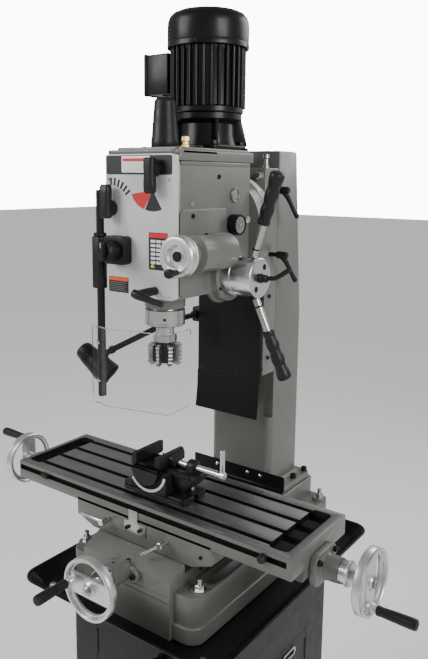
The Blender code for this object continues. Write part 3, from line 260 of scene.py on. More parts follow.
# ---------------------------------------------------------------- materials
class Nodes:
    """A small helper that builds one node tree."""

    def __init__(self, name):
        self.material = bpy.data.materials.new(name)
        self.material.use_nodes = True
        self.tree = self.material.node_tree
        self.shader = self.tree.nodes["Principled BSDF"]

    def add(self, kind, inputs=(), **settings):
        """A node with settings and inputs; an input is a value or another node's output."""
        node = self.tree.nodes.new(kind)
        for key, value in settings.items():
            setattr(node, key, value)
        for key, value in dict(inputs).items():
            self.feed(node.inputs[key], value)
        return node

    def feed(self, socket, value):
        """Set a socket, or link an output to it."""
        if isinstance(value, bpy.types.NodeSocket):
            self.tree.links.new(value, socket)
        else:
            socket.default_value = value

    def drive(self, name, value):
        """A node's output into one of the shader's inputs."""
        self.feed(self.shader.inputs[name], value)

    def place(self, stretch=(1.0, 1.0, 1.0)):
        """Object coordinates, stretched."""
        coords = self.add("ShaderNodeTexCoord").outputs["Object"]
        return self.add("ShaderNodeMapping", {"Vector": coords, "Scale": stretch}).outputs["Vector"]

    def noise(self, scale, detail=3.0, stretch=(1.0, 1.0, 1.0), rough=0.55):
        """A noise value between 0 and 1."""
        inputs = {"Vector": self.place(stretch), "Scale": scale, "Detail": detail, "Roughness": rough}
        return self.add("ShaderNodeTexNoise", inputs).outputs["Fac"]

    def spread(self, value, low, high, start=0.3, end=0.7):
        """A value from one span mapped to another."""
        inputs = {"Value": value, "From Min": start, "From Max": end, "To Min": low, "To Max": high}
        return self.add("ShaderNodeMapRange", inputs).outputs["Result"]

    def blend(self, factor, first, second):
        """A colour between two colours."""
        node = self.add("ShaderNodeMix", data_type="RGBA")
        self.feed(node.inputs["Factor"], factor)
        self.feed(node.inputs[6], first)
        self.feed(node.inputs[7], second)
        return node.outputs[2]

    def bump(self, height, distance, strength=1.0, after=None):
        """A bump from a height; it adds to an earlier bump."""
        inputs = {"Height": height, "Distance": distance, "Strength": strength}
        node = self.add("ShaderNodeBump", inputs)
        if after is not None:
            self.feed(node.inputs["Normal"], after)
        return node.outputs["Normal"]

    def radius(self, axis):
        """Distance from the object's own axis through its origin."""
        mask = {"X": (0.0, 1.0, 1.0), "Y": (1.0, 0.0, 1.0), "Z": (1.0, 1.0, 0.0)}[axis]
        coords = self.add("ShaderNodeTexCoord").outputs["Object"]
        flat = self.add("ShaderNodeVectorMath", operation="MULTIPLY")
        self.feed(flat.inputs[0], coords)
        self.feed(flat.inputs[1], mask)
        length = self.add("ShaderNodeVectorMath", operation="LENGTH")
        self.feed(length.inputs[0], flat.outputs[0])
        return length.outputs["Value"]


def tinted(color, factor):
    """A colour made lighter or darker, with alpha."""
    return tuple(min(1.0, channel * factor) for channel in color) + (1.0,)


def paint(name, color, roughness, peel=0.00006, mottle=0.1, coat=0.0, speck=0.0, shine=0.5):
    """Sprayed enamel: orange peel, slow colour drift, a little grime in the tone, optional clear gloss."""
    nodes = Nodes(name)
    drift = nodes.spread(nodes.noise(9.0, 5.0), 0.0, 1.0)
    grain = nodes.noise(900.0, 2.0)
    tone = nodes.blend(drift, tinted(color, 1.0 - mottle), tinted(color, 1.0 + mottle))
    if speck > 0.0:
        dots = nodes.spread(nodes.noise(420.0, 2.0), 0.0, speck, 0.62, 0.7)
        tone = nodes.blend(dots, tone, tinted(color, 2.2))
    nodes.drive("Base Color", tone)
    nodes.drive("Roughness", nodes.spread(nodes.noise(35.0, 4.0), roughness - 0.05,
        roughness + 0.07))
    peel_bump = nodes.bump(nodes.noise(260.0, 2.0), peel)
    nodes.drive("Normal", nodes.bump(grain, peel * 0.35, 0.6, peel_bump))
    nodes.shader.inputs["Coat Weight"].default_value = coat
    nodes.shader.inputs["Coat Roughness"].default_value = 0.12
    nodes.shader.inputs["Specular IOR Level"].default_value = shine
    return nodes.material


def plastic(name, color, roughness, grain=0.00004, scale=700.0, shine=0.3):
    """Moulded plastic or blackened metal with a fine grain."""
    nodes = Nodes(name)
    drift = nodes.spread(nodes.noise(22.0, 4.0), 0.0, 1.0)
    nodes.drive("Base Color", nodes.blend(drift, tinted(color, 0.8),
        tinted(color, 1.35)))
    nodes.drive("Roughness", nodes.spread(nodes.noise(60.0), roughness - 0.06,
        roughness + 0.08))
    nodes.drive("Normal", nodes.bump(nodes.noise(scale, 2.0), grain))
    nodes.shader.inputs["Specular IOR Level"].default_value = shine
    return nodes.material


def metal(name, color, roughness, stretch=(1.0, 1.0, 1.0), scratch=0.00002, axis=None, scale=60.0):
    """Machined metal: straight tool marks, or rings about the object's own axis."""
    nodes = Nodes(name)
    nodes.shader.inputs["Metallic"].default_value = 1.0
    drift = nodes.spread(nodes.noise(14.0, 4.0), 0.0, 1.0)
    nodes.drive("Base Color", nodes.blend(drift, tinted(color, 0.86),
        tinted(color, 1.08)))
    if axis:
        rings = nodes.add("ShaderNodeTexNoise", {"W": nodes.radius(axis), "Scale": 2600.0, "Detail": 2.0},
            noise_dimensions="1D").outputs["Fac"]
        marks = rings
    else:
        marks = nodes.noise(scale, 6.0, stretch, 0.7)
    nodes.drive("Roughness", nodes.spread(marks, roughness - 0.07, roughness + 0.09))
    nodes.drive("Normal", nodes.bump(marks, scratch, 0.7))
    return nodes.material


def ink(name, color, roughness=0.35):
    """A printed label's ink, a little uneven."""
    nodes = Nodes(name)
    drift = nodes.noise(150.0, 3.0)
    nodes.drive("Base Color", nodes.blend(drift, tinted(color, 0.93),
        tinted(color, 1.05)))
    nodes.drive("Roughness", nodes.spread(nodes.noise(90.0), roughness - 0.04,
        roughness + 0.05))
    return nodes.material


def clear_sheet(name, tint, haze, density):
    """Clear polycarbonate: faint handling haze in its gloss."""
    nodes = Nodes(name)
    nodes.shader.inputs["Transmission Weight"].default_value = density
    nodes.shader.inputs["IOR"].default_value = 1.22
    nodes.shader.inputs["Base Color"].default_value = tint
    nodes.drive("Roughness", nodes.spread(nodes.noise(18.0, 5.0), haze, haze + 0.06,
        0.45, 0.8))
    return nodes.material


CASTING = paint("casting_enamel", (0.134, 0.136, 0.122), 0.36, 0.00009, 0.07, 0.2)
PANEL = paint("panel_silver", (0.56, 0.565, 0.57), 0.34, 0.00003, 0.03, 0.2)
BLACK = paint("black_enamel", (0.004, 0.005, 0.0054), 0.34, 0.00002, 0.2, 0.06, 0.0, 0.22)
STAND = paint("powder_coat", (0.0105, 0.0112, 0.012), 0.38, 0.00006, 0.12, 0.0, 0.03, 0.28)
PLASTIC = plastic("black_plastic", (0.0075, 0.008, 0.009), 0.42)
GRIP = plastic("grip_plastic", (0.011, 0.011, 0.0125), 0.38, 0.00002)
DARK = plastic("oiled_black_steel", (0.0085, 0.0085, 0.0095), 0.34, 0.00003, 300.0)
# Near-black painted shade for slot walls, hole stand-ins, seams and the saddle's underside.
RECESS_SHADE = plastic("painted_recess_shade", (0.005, 0.005, 0.0055), 0.55, 0.00005, 200.0, 0.2)
STEEL = metal("ground_steel", (0.5, 0.5, 0.49), 0.3, (0.15, 14.0, 14.0), 0.00002)
TABLE_STEEL = metal("table_steel", (0.3, 0.3, 0.295), 0.38, (0.1, 10.0, 10.0), 0.00003)
ALUMINIUM = metal("cast_aluminium", (0.78, 0.78, 0.79), 0.34, (1.0, 1.0, 1.0), 0.00004, None, 320.0)
TURNED_X = metal("turned_x", (0.74, 0.74, 0.74), 0.24, scratch=0.000012, axis="X")
TURNED_Y = metal("turned_y", (0.74, 0.74, 0.74), 0.24, scratch=0.000012, axis="Y")
TURNED_Z = metal("turned_z", (0.56, 0.56, 0.55), 0.27, scratch=0.000012, axis="Z")
CHROME = metal("bright_screw", (0.72, 0.72, 0.72), 0.16)
BRASS = metal("brass_plug", (0.62, 0.42, 0.14), 0.3)
WINDOW = ink("oil_window", (0.24, 0.24, 0.22), 0.15)
DIAL_FACE = ink("dial_face", (0.16, 0.19, 0.22), 0.25)
INSERT = metal("carbide_insert", (0.46, 0.46, 0.45), 0.38)
WHITE_INK = ink("label_white", (0.8, 0.8, 0.78))
BLACK_INK = ink("label_black", (0.012, 0.012, 0.013))
RED_INK = ink("label_red", (0.62, 0.02, 0.02))
ORANGE_INK = ink("label_orange", (0.78, 0.1, 0.01))
YELLOW_INK = ink("label_yellow", (0.82, 0.62, 0.02))
CLEAR_SHEET = clear_sheet("clear_polycarbonate", (0.96, 0.975, 0.98, 1.0), 0.0, 1.0)
# Whiter, less clear strips on the shield's top and bottom edges: painted highlight.
EDGE_HIGHLIGHT = clear_sheet("painted_edge_highlight", (0.8, 0.84, 0.85, 1.0), 0.25, 0.45)


def bulb_glass():
    """Frosted white glass of the lamp's bulb."""
    nodes = Nodes("frosted_bulb")
    nodes.drive("Base Color", nodes.blend(nodes.noise(80.0), (0.8, 0.8, 0.78, 1.0),
        (0.9, 0.9, 0.88, 1.0)))
    nodes.shader.inputs["Roughness"].default_value = 0.25
    return nodes.material


def give(look, *names):
    """A CAD node keeps its shape and takes a better material."""
    for name in names:
        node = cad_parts[name]
        node.data.materials.clear()
        node.data.materials.append(look)


# ---------------------------------------------------------------- small fittings
def socket_screw(axis, centre, low, high, radius, look=None, outward=1):
    """A cap screw with a hexagon socket in its outer end; outward is the sign of that end."""
    bottom, top = (low, high) if outward > 0 else (high, low)
    inner = radius * 0.55
    lip = outward * radius * 0.12
    depth = outward * radius * 0.8
    profile = [(0.0, bottom), (radius, bottom), (radius, top - lip), (radius - abs(lip), top), (inner, top),
        (inner, top - depth), (0.0, top - depth)]
    return (turned(profile, axis, centre, 12), look or DARK)


def hex_bolt(axis, centre, low, high, across, look=None, outward=1):
    """A hexagon head on a washer; outward is the sign of its outer end."""
    bottom, top = (low, high) if outward > 0 else (high, low)
    washer = outward * 0.0018
    corner = across / math.sqrt(3.0)
    head = [(0.0, bottom + washer), (corner, bottom + washer), (corner, top - outward * 0.0012),
        (corner * 0.86, top), (0.0, top)]
    disc = [(0.0, bottom), (across * 0.78, bottom), (across * 0.78, bottom + washer), (0.0, bottom + washer)]
    return [(turned(head, axis, centre, 6), look or STEEL), (turned(disc, axis, centre, FINE),
        look or STEEL)]


# ---------------------------------------------------------------- stand and tray
def make_stand():
    """Powder-coated cabinet: turned knob, hinge barrels, side pull and panel screws."""
    give(STAND, "stand_cabinet", "stand_front_door", "stand_side_door")
    low, high = MACHINE["stand_front_door"]
    face = MACHINE["stand_cabinet"][0].y
    knob = (high.x - 0.058, high.z - 0.034)
    profile = [(0.0, face - 0.0003), (0.0145, face - 0.0003), (0.0145, face - 0.003), (0.0125, face - 0.006),
        (0.0125, face - 0.012), (0.0155, face - 0.017), (0.0165, face - 0.021), (0.015, face - 0.0245),
        (0.01, face - 0.0265), (0.0, face - 0.027)]
    piece("door_knob", "front_door", [(turned(profile, "Y", knob), GRIP)])
    barrels = []
    for z in (low.z + 0.075, high.z - 0.075):
        barrel = turned([(0.0, z - 0.032), (HINGE_RADIUS, z - 0.032), (HINGE_RADIUS, z - 0.0006),
            (0.0022, z), (HINGE_RADIUS, z + 0.0006), (HINGE_RADIUS, z + 0.032), (0.0, z + 0.032)], "Z",
            FRONT_HINGE, FINE)
        barrels.append((barrel, STAND))
    piece("front_door_hinges", "front_door", barrels)
    side_low, side_high = MACHINE["stand_side_door"]
    face = side_high.x
    pull_y, pull_z = 0.068, side_high.z - 0.026
    outer = rounded((pull_y - 0.034, pull_y + 0.034), (pull_z - 0.012, pull_z + 0.012), 0.0118)
    inner = rounded((pull_y - 0.026, pull_y + 0.026), (pull_z - 0.0065, pull_z + 0.0065), 0.0064)
    frame_ring = with_cuts(prism(outer, "X", face + CLEAR, face + 0.004),
        [prism(inner, "X", face - 0.01, face + 0.01)])
    # The pull's recess floor is near-black: painted shade.
    floor = prism(rounded((pull_y - 0.028, pull_y + 0.028), (pull_z - 0.008, pull_z + 0.008), 0.0078), "X",
        face + CLEAR, face + 0.0008)
    piece("side_door_pull", "side_door", [(soften(frame_ring, 0.0012, 2), STEEL),
        (floor, RECESS_SHADE)])
    barrels = []
    for z in (side_low.z + 0.06, side_high.z - 0.06):
        barrels.append((rod(HINGE_RADIUS, "Z", SIDE_HINGE, z - 0.03, z + 0.03), STAND))
    piece("side_door_hinges", "side_door", barrels)
    screws = []
    for x in (-0.19, 0.19):
        for z in (0.04, 0.728):
            screws.append(socket_screw("Y", (x, z), MACHINE["stand_cabinet"][0].y - 0.0035,
                MACHINE["stand_cabinet"][0].y - CLEAR, 0.0055, DARK, -1))
    piece("cabinet_screws", "stand", screws)


def make_tray():
    """Chip tray pressed from sheet, with a rolled rim and a drain plug."""
    low, high = MACHINE["chip_tray"]
    rim, floor = high.z, low.z + 0.003
    slope = 0.03

    def ring(inset, height, corner):
        outline = rounded((low.x + inset, high.x - inset), (low.y + inset, high.y - inset), corner, 10)
        return [(x, y, height) for x, y in outline]

    shape = loft([ring(slope + 0.004, low.z, 0.018), ring(slope, low.z + 0.002, 0.022),
        ring(0.007, rim - 0.0055, 0.042), ring(0.001, rim - 0.0045, 0.047), ring(0.0, rim - 0.0025, 0.048),
        ring(0.0008, rim - 0.0006, 0.047), ring(0.003, rim, 0.045), ring(0.0065, rim - 0.0008, 0.042),
        ring(0.0095, rim - 0.004, 0.04), ring(slope + 0.003, floor + 0.003, 0.02),
        ring(slope + 0.008, floor, 0.015), ])
    piece("tray_pan", "stand", [(shape, BLACK)], replaces=["chip_tray"])
    profile = [(0.0, floor + 0.0003), (0.017, floor + 0.0003), (0.017, floor + 0.003),
        (0.015, floor + 0.0045), (0.01, floor + 0.0045), (0.009, floor + 0.002), (0.0, floor + 0.002)]
    fittings = [(turned(profile, "Z", (0.232, 0.25)), DARK)]
    fittings += hex_bolt("Z", (0.228, -0.326), floor + 0.0003, floor + 0.0085, 0.013)
    fittings += hex_bolt("Z", (-0.228, -0.326), floor + 0.0003, floor + 0.0085, 0.013)
    piece("tray_fittings", "stand", fittings)


# ---------------------------------------------------------------- base and column
def make_base():
    """Base casting: stepped foot, flange with chip troughs, front block, dovetail ways and column pad."""
    low, high = MACHINE["base_casting"]
    bottom, way = low.z, high.z
    flange_top, foot_top = 0.87, 0.802
    step = 0.005
    foot = soften(prism(rounded((low.x, high.x), (low.y + 0.008, high.y), 0.034), "Z", bottom, foot_top),
        0.0035)
    flange = prism(rounded((low.x + step, high.x - step), (low.y + 0.008 + step, high.y - step), 0.03), "Z",
        bottom + 0.01, flange_top)
    troughs = [prism(rounded(sorted((s * 0.142, s * 0.18)), (-0.228, 0.085), 0.01), "Z",
        flange_top - 0.02, 0.9) for s in (-1, 1)]
    flange = soften(with_cuts(flange, troughs), 0.005)
    nose = [(-0.315, bottom), (-0.315, 0.896), (-0.262, way), (-0.1, way), (-0.1, bottom)]
    bed = prism(nose, "X", -0.13, 0.13)
    grooves = []
    for side in (-1, 1):
        outline = [(side * 0.098, way + 0.005), (side * 0.098, way), (side * 0.086, 0.896),
            (side * 0.14, 0.896), (side * 0.14, way + 0.005)]
        grooves.append(prism(outline, "Y", -0.262, 0.11))
    body = with_cuts(bed, [box((-0.13, 0.13), (-0.102, 0.125), (0.85, way))], "UNION")
    slots = grooves + [box((-0.018, 0.018), (-0.24, 0.09), (0.88, way + 0.01)),
        rod(0.013, "Y", (0.0, 0.89), -0.33, -0.23)]
    body = soften(with_cuts(body, slots), 0.0022, 2)
    pad = soften(prism(rounded((-0.135, 0.135), (0.1, high.y - 0.001), 0.024), "Z", 0.855, way), 0.004)
    shell = [(foot, CASTING), (flange, CASTING), (body, CASTING), (pad, CASTING)]
    piece("base_body", "stand", shell, replaces=["base_casting"])
    ribs = [(soften(prism(rounded((-0.128, 0.128), (0.846, 0.862), 0.004), "Y", -0.3165, -0.312), 0.0012, 2),
        CASTING)]
    bolts = []
    for x in (-0.172, 0.172):
        for y in (-0.264, 0.296):
            ribs.append((soften(rod(0.02, "Z", (x, y), flange_top - 0.004, flange_top + 0.004, FINE),
                0.0015, 2), CASTING))
            bolts += hex_bolt("Z", (x, y), flange_top + 0.0043, flange_top + 0.017, 0.019)
            bolts.append((rod(0.0055, "Z", (x, y), flange_top + 0.014, flange_top + 0.03), STEEL))
    piece("base_bosses", "stand", ribs)
    piece("hold_down_nuts", "stand", bolts)
    gib = []
    for y in (-0.205, -0.15, -0.095):
        gib.append(socket_screw("X", (y, 0.884), 0.1303, 0.1345, 0.0045))
    for z in (0.8, 0.84):
        gib.append(socket_screw("Y", (-0.09, z), -0.3185, -0.3153, 0.006, DARK, -1))
    piece("base_screws", "stand", gib)


def make_column():
    """Square column with rounded corners, capped top, dovetail ways, foot flange and its bolts."""
    low, high = MACHINE["column"]
    front, back, top_back = 0.146, 0.304, 0.262
    width, taper, foot = 0.095, 1.4, low.z

    def ring(height, rear, inset=0.0):
        outline = rounded((inset - width, width - inset), (front + inset, rear - inset), 0.02, 8)
        return [(x, y, height) for x, y in outline]

    body = loft([ring(foot + 0.006, back), ring(taper, back), ring(high.z - 0.005, top_back + 0.0005),
        ring(high.z - 0.0015, top_back, 0.0015), ring(high.z, top_back, 0.005)])
    cuts = []
    for side in (-1, 1):
        outline = [(side * 0.075, front - 0.01), (side * 0.075, front), (side * 0.062, 0.1603),
            (side * 0.11, 0.1603), (side * 0.11, front - 0.01)]
        cuts.append(prism(outline, "Z", 1.13, high.z + 0.01))
    cuts.append(box((-0.02, 0.02), (front - 0.01, 0.2), (1.145, 1.79)))
    shaft = with_cuts(body, cuts)
    flange = soften(prism(rounded((low.x, high.x), (0.1465, high.y), 0.024), "Z", foot, foot + 0.016), 0.004)
    collar = loft([[(x, y, foot + 0.014 + 0.01 * t) for x, y in rounded((-width - 0.01 * (1 - t),
        width + 0.01 * (1 - t)), (0.1468, back + 0.01 * (1 - t)), 0.022)] for t in (0.0, 0.35, 0.75, 1.0)])
    piece("column_body", "stand", [(shaft, CASTING), (flange, CASTING), (collar, CASTING)],
        replaces=["column"], angle=24.0)
    bolts = []
    for x in (-0.113, 0.113):
        for y in (0.18, 0.25, 0.312):
            bolts.append(socket_screw("Z", (x, y), foot + 0.0163, foot + 0.027, 0.0085, DARK))
    piece("column_bolts", "stand", bolts)
    face, z0, z1 = 0.1457, low.z + 0.02, low.z + 0.06
    give(STEEL, "elevation_screw")
    plate = [(face, z0), (face, z1), (face - 0.0022, z1), (face - 0.0022, z0 + 0.006),
        (face - 0.004, z0 + 0.002), (face - 0.008, z0), (face - 0.0172, z0 - 0.0006),
        (face - 0.0172, z0 - 0.0026), (face - 0.0075, z0 - 0.002), (face - 0.002, z0 - 0.0015)]
    apron = soften(prism(plate, "X", -0.149, 0.144), 0.0004, 2)
    piece("chip_plate", "stand", [(apron, BLACK)], replaces=["column_chip_plate"])
    buttons = []
    for x in (-0.07, 0.03, 0.07):
        profile = [(0.0, face - 0.0025), (0.0055, face - 0.0025), (0.0048, face - 0.0048),
            (0.003, face - 0.006), (0.0, face - 0.0062)]
        buttons.append((turned(profile, "Y", (x, z1 - 0.014), FINE), CHROME))
    piece("chip_plate_screws", "stand", buttons)
    make_crank()


def make_crank():
    """Raising crank on the column's left flank: hub, cranked arm and a turned grip."""
    low, high = MACHINE["elevation_crank"]
    y, z = 0.195, 1.63
    face = -0.135
    arm = soften(prism(rounded((y - 0.012, y + 0.012), (z - 0.012, z + 0.087), 0.0118), "X", face - 0.006,
        face + 0.004), 0.0025)
    grip = [(0.0, face - 0.0065), (0.008, face - 0.0065), (0.0095, face - 0.012), (0.0118, face - 0.04),
        (0.0112, face - 0.068), (0.0085, face - 0.077), (0.0, low.x)]
    hub = [(0.0, face + 0.003), (0.014, face + 0.003), (0.014, face + 0.024), (0.012, face + 0.027),
        (0.009, face + 0.027), (0.009, -0.026), (0.0, -0.026)]
    shapes = [(arm, ALUMINIUM), (turned(hub, "X", (y, z)), ALUMINIUM),
        (turned(grip, "X", (y, z + 0.075)), GRIP), (turned([(0.0, -0.026), (0.013, -0.026), (0.009, high.x),
        (0.0, high.x)], "X", (y, z), FINE), STEEL)]
    piece("crank", "lift_crank", shapes, replaces=["elevation_crank"])
    flange = soften(rod(0.026, "X", (y, z), -0.1035, -0.0953, ROUND), 0.0015)
    flange = with_cuts(flange, [rod(0.0105, "X", (y, z), -0.11, -0.09)])
    piece("crank_flange", "stand", [(flange, CASTING)])


# ---------------------------------------------------------------- wheels, screws and dials
def wheel_shapes(axis, centre, face, outward, pin, radius=0.07):
    """A cast hand wheel: rim, web with two windows, hub and the handle's seat."""
    def at(depth):
        return face - outward * depth

    band = ((-0.002, 0.005), (-0.0004, 0.0016), (-0.003, 0.0002), (-0.0062, 0.0004), (-0.008, 0.0025),
        (-0.0086, 0.011), (-0.0078, 0.0195), (-0.0058, 0.0216), (-0.0024, 0.0217), (-0.0003, 0.02),
        (0.0, 0.011))
    rim = [(radius + grow, at(depth)) for grow, depth in band]
    web = sorted((at(0.0085), at(0.0165)))
    disc = turned([(0.0, web[0]), (radius - 0.006, web[0]), (radius - 0.006, web[1]), (0.0, web[1])], axis,
        centre)
    half = 0.024
    windows = []
    for side in (-1, 1):
        reach = radius - 0.014
        arc = [math.asin(half / reach) + (math.pi - 2 * math.asin(half / reach)) * i / 14 for i in range(15)]
        outline = [(reach * math.cos(a), side * reach * math.sin(a)) for a in arc]
        if axis == "X":
            outline = [(b, a) for a, b in outline]
        outline = [(centre[0] + a, centre[1] + b) for a, b in outline]
        windows.append(prism(outline, axis, web[0] - 0.01, web[1] + 0.01))
    disc = soften(with_cuts(disc, windows), 0.0022, 2)
    hub = [(0.0105, at(0.004)), (0.0135, at(0.003)), (0.0165, at(0.006)), (0.017, at(0.012)),
        (0.018, at(0.018)), (0.0165, at(0.024)), (0.0155, at(0.034)), (0.0105, at(0.034))]
    seat = [(0.0, at(0.0085)), (0.0125, at(0.0085)), (0.0112, at(0.002)), (0.0098, at(-0.001)),
        (0.0, at(-0.001))]
    return [(turned(rim, axis, centre, 64), ALUMINIUM), (disc, ALUMINIUM),
        (turned(hub, axis, centre), ALUMINIUM), (turned(seat, axis, pin, FINE), ALUMINIUM)]


def nut_shapes(axis, centre, face, outward):
    """The washer and nut that hold a wheel on its screw."""
    start = face - outward * 0.0035
    washer = sorted((start, start + outward * 0.0018))
    nut = sorted((start + outward * 0.0018, start + outward * 0.0068))
    return [(turned([(0.0, washer[0]), (0.0125, washer[0]), (0.0125, washer[1]), (0.0, washer[1])], axis,
        centre, FINE), STEEL), (soften(rod(0.0105, axis, centre, nut[0], nut[1], 6), 0.0006, 1), STEEL),
        (rod(0.0058, axis, centre, *sorted((nut[0], face + outward * 0.0065))), STEEL)]


def dial_shapes(axis, centre, start, outward, radius=0.0245, length=0.02, ticks=50):
    """A graduated collar: bright ring, knurled edge and a line for every division."""
    def at(depth):
        return start + outward * depth

    profile = [(0.0105, at(0.0)), (radius, at(0.0)), (radius, at(length * 0.62)),
        (radius + 0.0018, at(length * 0.66)), (radius + 0.0018, at(length * 0.94)), (radius, at(length)),
        (0.0105, at(length))]
    look = {"X": TURNED_X, "Y": TURNED_Y}[axis]
    shapes = [(turned(profile, axis, centre, 64), look)]
    for k in range(ticks):
        reach = length * (0.42 if k % 5 == 0 else 0.24)
        span = sorted((at(0.0008), at(reach)))
        angle = 360.0 * k / ticks
        if axis == "X":
            mark = box(span, (centre[0] - 0.00025, centre[0] + 0.00025),
                (centre[1] + radius - 0.0004, centre[1] + radius + 0.00015))
            shapes.append((turn(mark, angle, "X", (0.0, centre[0], centre[1])), BLACK_INK))
        else:
            mark = box((centre[0] - 0.00025, centre[0] + 0.00025), span,
                (centre[1] + radius - 0.0004, centre[1] + radius + 0.00015))
            shapes.append((turn(mark, angle, "Y", (centre[0], 0.0, centre[1])), BLACK_INK))
    for k in range(48):
        angle = 360.0 * k / 48
        span = sorted((at(length * 0.68), at(length * 0.92)))
        if axis == "X":
            ridge = box(span, (centre[0] - 0.0006, centre[0] + 0.0006),
                (centre[1] + radius + 0.001, centre[1] + radius + 0.0026))
            shapes.append((turn(ridge, angle, "X", (0.0, centre[0], centre[1])), look))
        else:
            ridge = box((centre[0] - 0.0006, centre[0] + 0.0006), span,
                (centre[1] + radius + 0.001, centre[1] + radius + 0.0026))
            shapes.append((turn(ridge, angle, "Y", (centre[0], 0.0, centre[1])), look))
    return shapes


def make_handle(name, body, axis, pin, start, outward, replaced):
    """A revolving handle: swelling black grip on a bright spindle with a cap at its end."""
    def at(depth):
        return start + outward * depth

    grip = [(0.0, at(0.004)), (0.0088, at(0.004)), (0.0104, at(0.006)), (0.0104, at(0.012)),
        (0.0098, at(0.014)), (0.0104, at(0.03)), (0.0112, at(0.05)), (0.0117, at(0.07)),
        (0.0117, at(0.082)), (0.0106, at(0.0865)), (0.006, at(0.0875)), (0.0052, at(0.0862)),
        (0.0, at(0.0862))]
    spindle = [(0.0, at(0.0)), (0.0062, at(0.0)), (0.0062, at(0.0036)), (0.0, at(0.0036))]
    piece(name, body, [(turned(grip, axis, pin), GRIP),
        (turned(spindle, axis, pin, FINE), CHROME)], replaces=[replaced])


def bracket_shapes(axis, centre, start, outward, outline, plate, boss_end, collar=0.034):
    """A bearing bracket: flange plate and tapering boss."""
    def at(depth):
        return start + outward * depth

    span = sorted((at(0.0), at(plate)))
    flange = soften(prism(outline, axis, span[0], span[1]), 0.0025)
    boss = [(0.0105, at(plate * 0.5)), (collar, at(plate * 0.5)), (collar, at(plate)),
        (min(collar, 0.029), at(plate + 0.004)), (min(collar, 0.027), at(plate + 0.01)),
        (0.0265, at(boss_end - 0.0015)), (0.025, at(boss_end)), (0.0105, at(boss_end))]
    return [(flange, CASTING), (turned(boss, axis, centre), CASTING)]


def make_cross_feed():
    """Cross feed: bracket, dial, hand wheel and handle on the base's front."""
    z = 0.89
    face = MACHINE["cross_handwheel"][0].y + 0.001
    front = -0.315
    outline = []
    for x, radius, count in ((0.03, 0.018, 9), (-0.03, 0.018, 9)):
        start = -90.0 if x > 0 else 90.0
        for k in range(count):
            angle = math.radians(start + 180.0 * k / (count - 1))
            outline.append((x + radius * math.cos(angle), z - 0.006 + radius * math.sin(angle)))
    shapes = bracket_shapes("Y", (0.0, z), front - CLEAR, -1, outline, 0.011, 0.058, 0.0268)
    piece("cross_bracket", "stand", shapes, replaces=["cross_screw_bracket"])
    bolts = [socket_screw("Y", (x, z - 0.006), front - 0.019, front - 0.0115, 0.0065, DARK,
        -1) for x in (-0.036, 0.036)]
    bolts.append(socket_screw("Z", (0.0, front - 0.036), z + 0.0262, z + 0.0275, 0.003, DARK))
    piece("cross_bracket_screws", "stand", bolts)
    pin = (-0.056, z)
    origin = (0.0, face, z)
    piece("cross_wheel", "cross_screw", wheel_shapes("Y", (0.0, z), face, -1, pin), origin,
        ["cross_handwheel"])
    give(STEEL, "cross_leadscrew", "table_leadscrew")
    dial = dial_shapes("Y", (0.0, z), front - 0.059, -1)
    dial += nut_shapes("Y", (0.0, z), face, -1)
    piece("cross_dial", "cross_screw", dial, origin)
    make_handle("cross_grip_handle", "cross_grip", "Y", pin, face - 0.0013, -1, "cross_handle")


def make_table_feed():
    """Table feed: a bracket, dial, hand wheel and handle at each end of the table."""
    centre = (-0.144, 0.96)
    for side, name in ((-1, "left"), (1, "right")):
        low, high = MACHINE[f"table_handwheel_{name}"]
        face = (high.x - 0.001) if side > 0 else (low.x + 0.001)
        bracket_low, bracket_high = MACHINE[f"table_bracket_{name}"]
        start = bracket_low.x if side > 0 else bracket_high.x
        outline = rounded((bracket_low.y, bracket_high.y), (bracket_low.z, bracket_high.z), 0.02)
        shapes = bracket_shapes("X", centre, start, side, outline, 0.015, 0.0515)
        piece(f"end_bracket_{name}", "table_unit", shapes, replaces=[f"table_bracket_{name}"])
        bolts = []
        for y in (-0.036, 0.036):
            span = sorted((start + side * 0.0155, start + side * 0.023))
            bolts.append(socket_screw("X", (centre[0] + y, centre[1] + 0.022), span[0], span[1], 0.0065,
                DARK, side))
        piece(f"end_bracket_screws_{name}", "table_unit", bolts)
        pin = (centre[0], centre[1] - side * 0.056)
        origin = (face, *centre)
        piece(f"hand_wheel_{name}", "table_screw", wheel_shapes("X", centre, face, side, pin),
            origin, [f"table_handwheel_{name}"])
        dial = dial_shapes("X", centre, start + side * 0.0525, side)
        dial += nut_shapes("X", centre, face, side)
        piece(f"table_dial_{name}", "table_screw", dial, origin)
        make_handle(f"crank_grip_{name}", f"table_grip_{name}", "X", pin, face + side * 0.0013, side,
            f"table_handle_{name}")


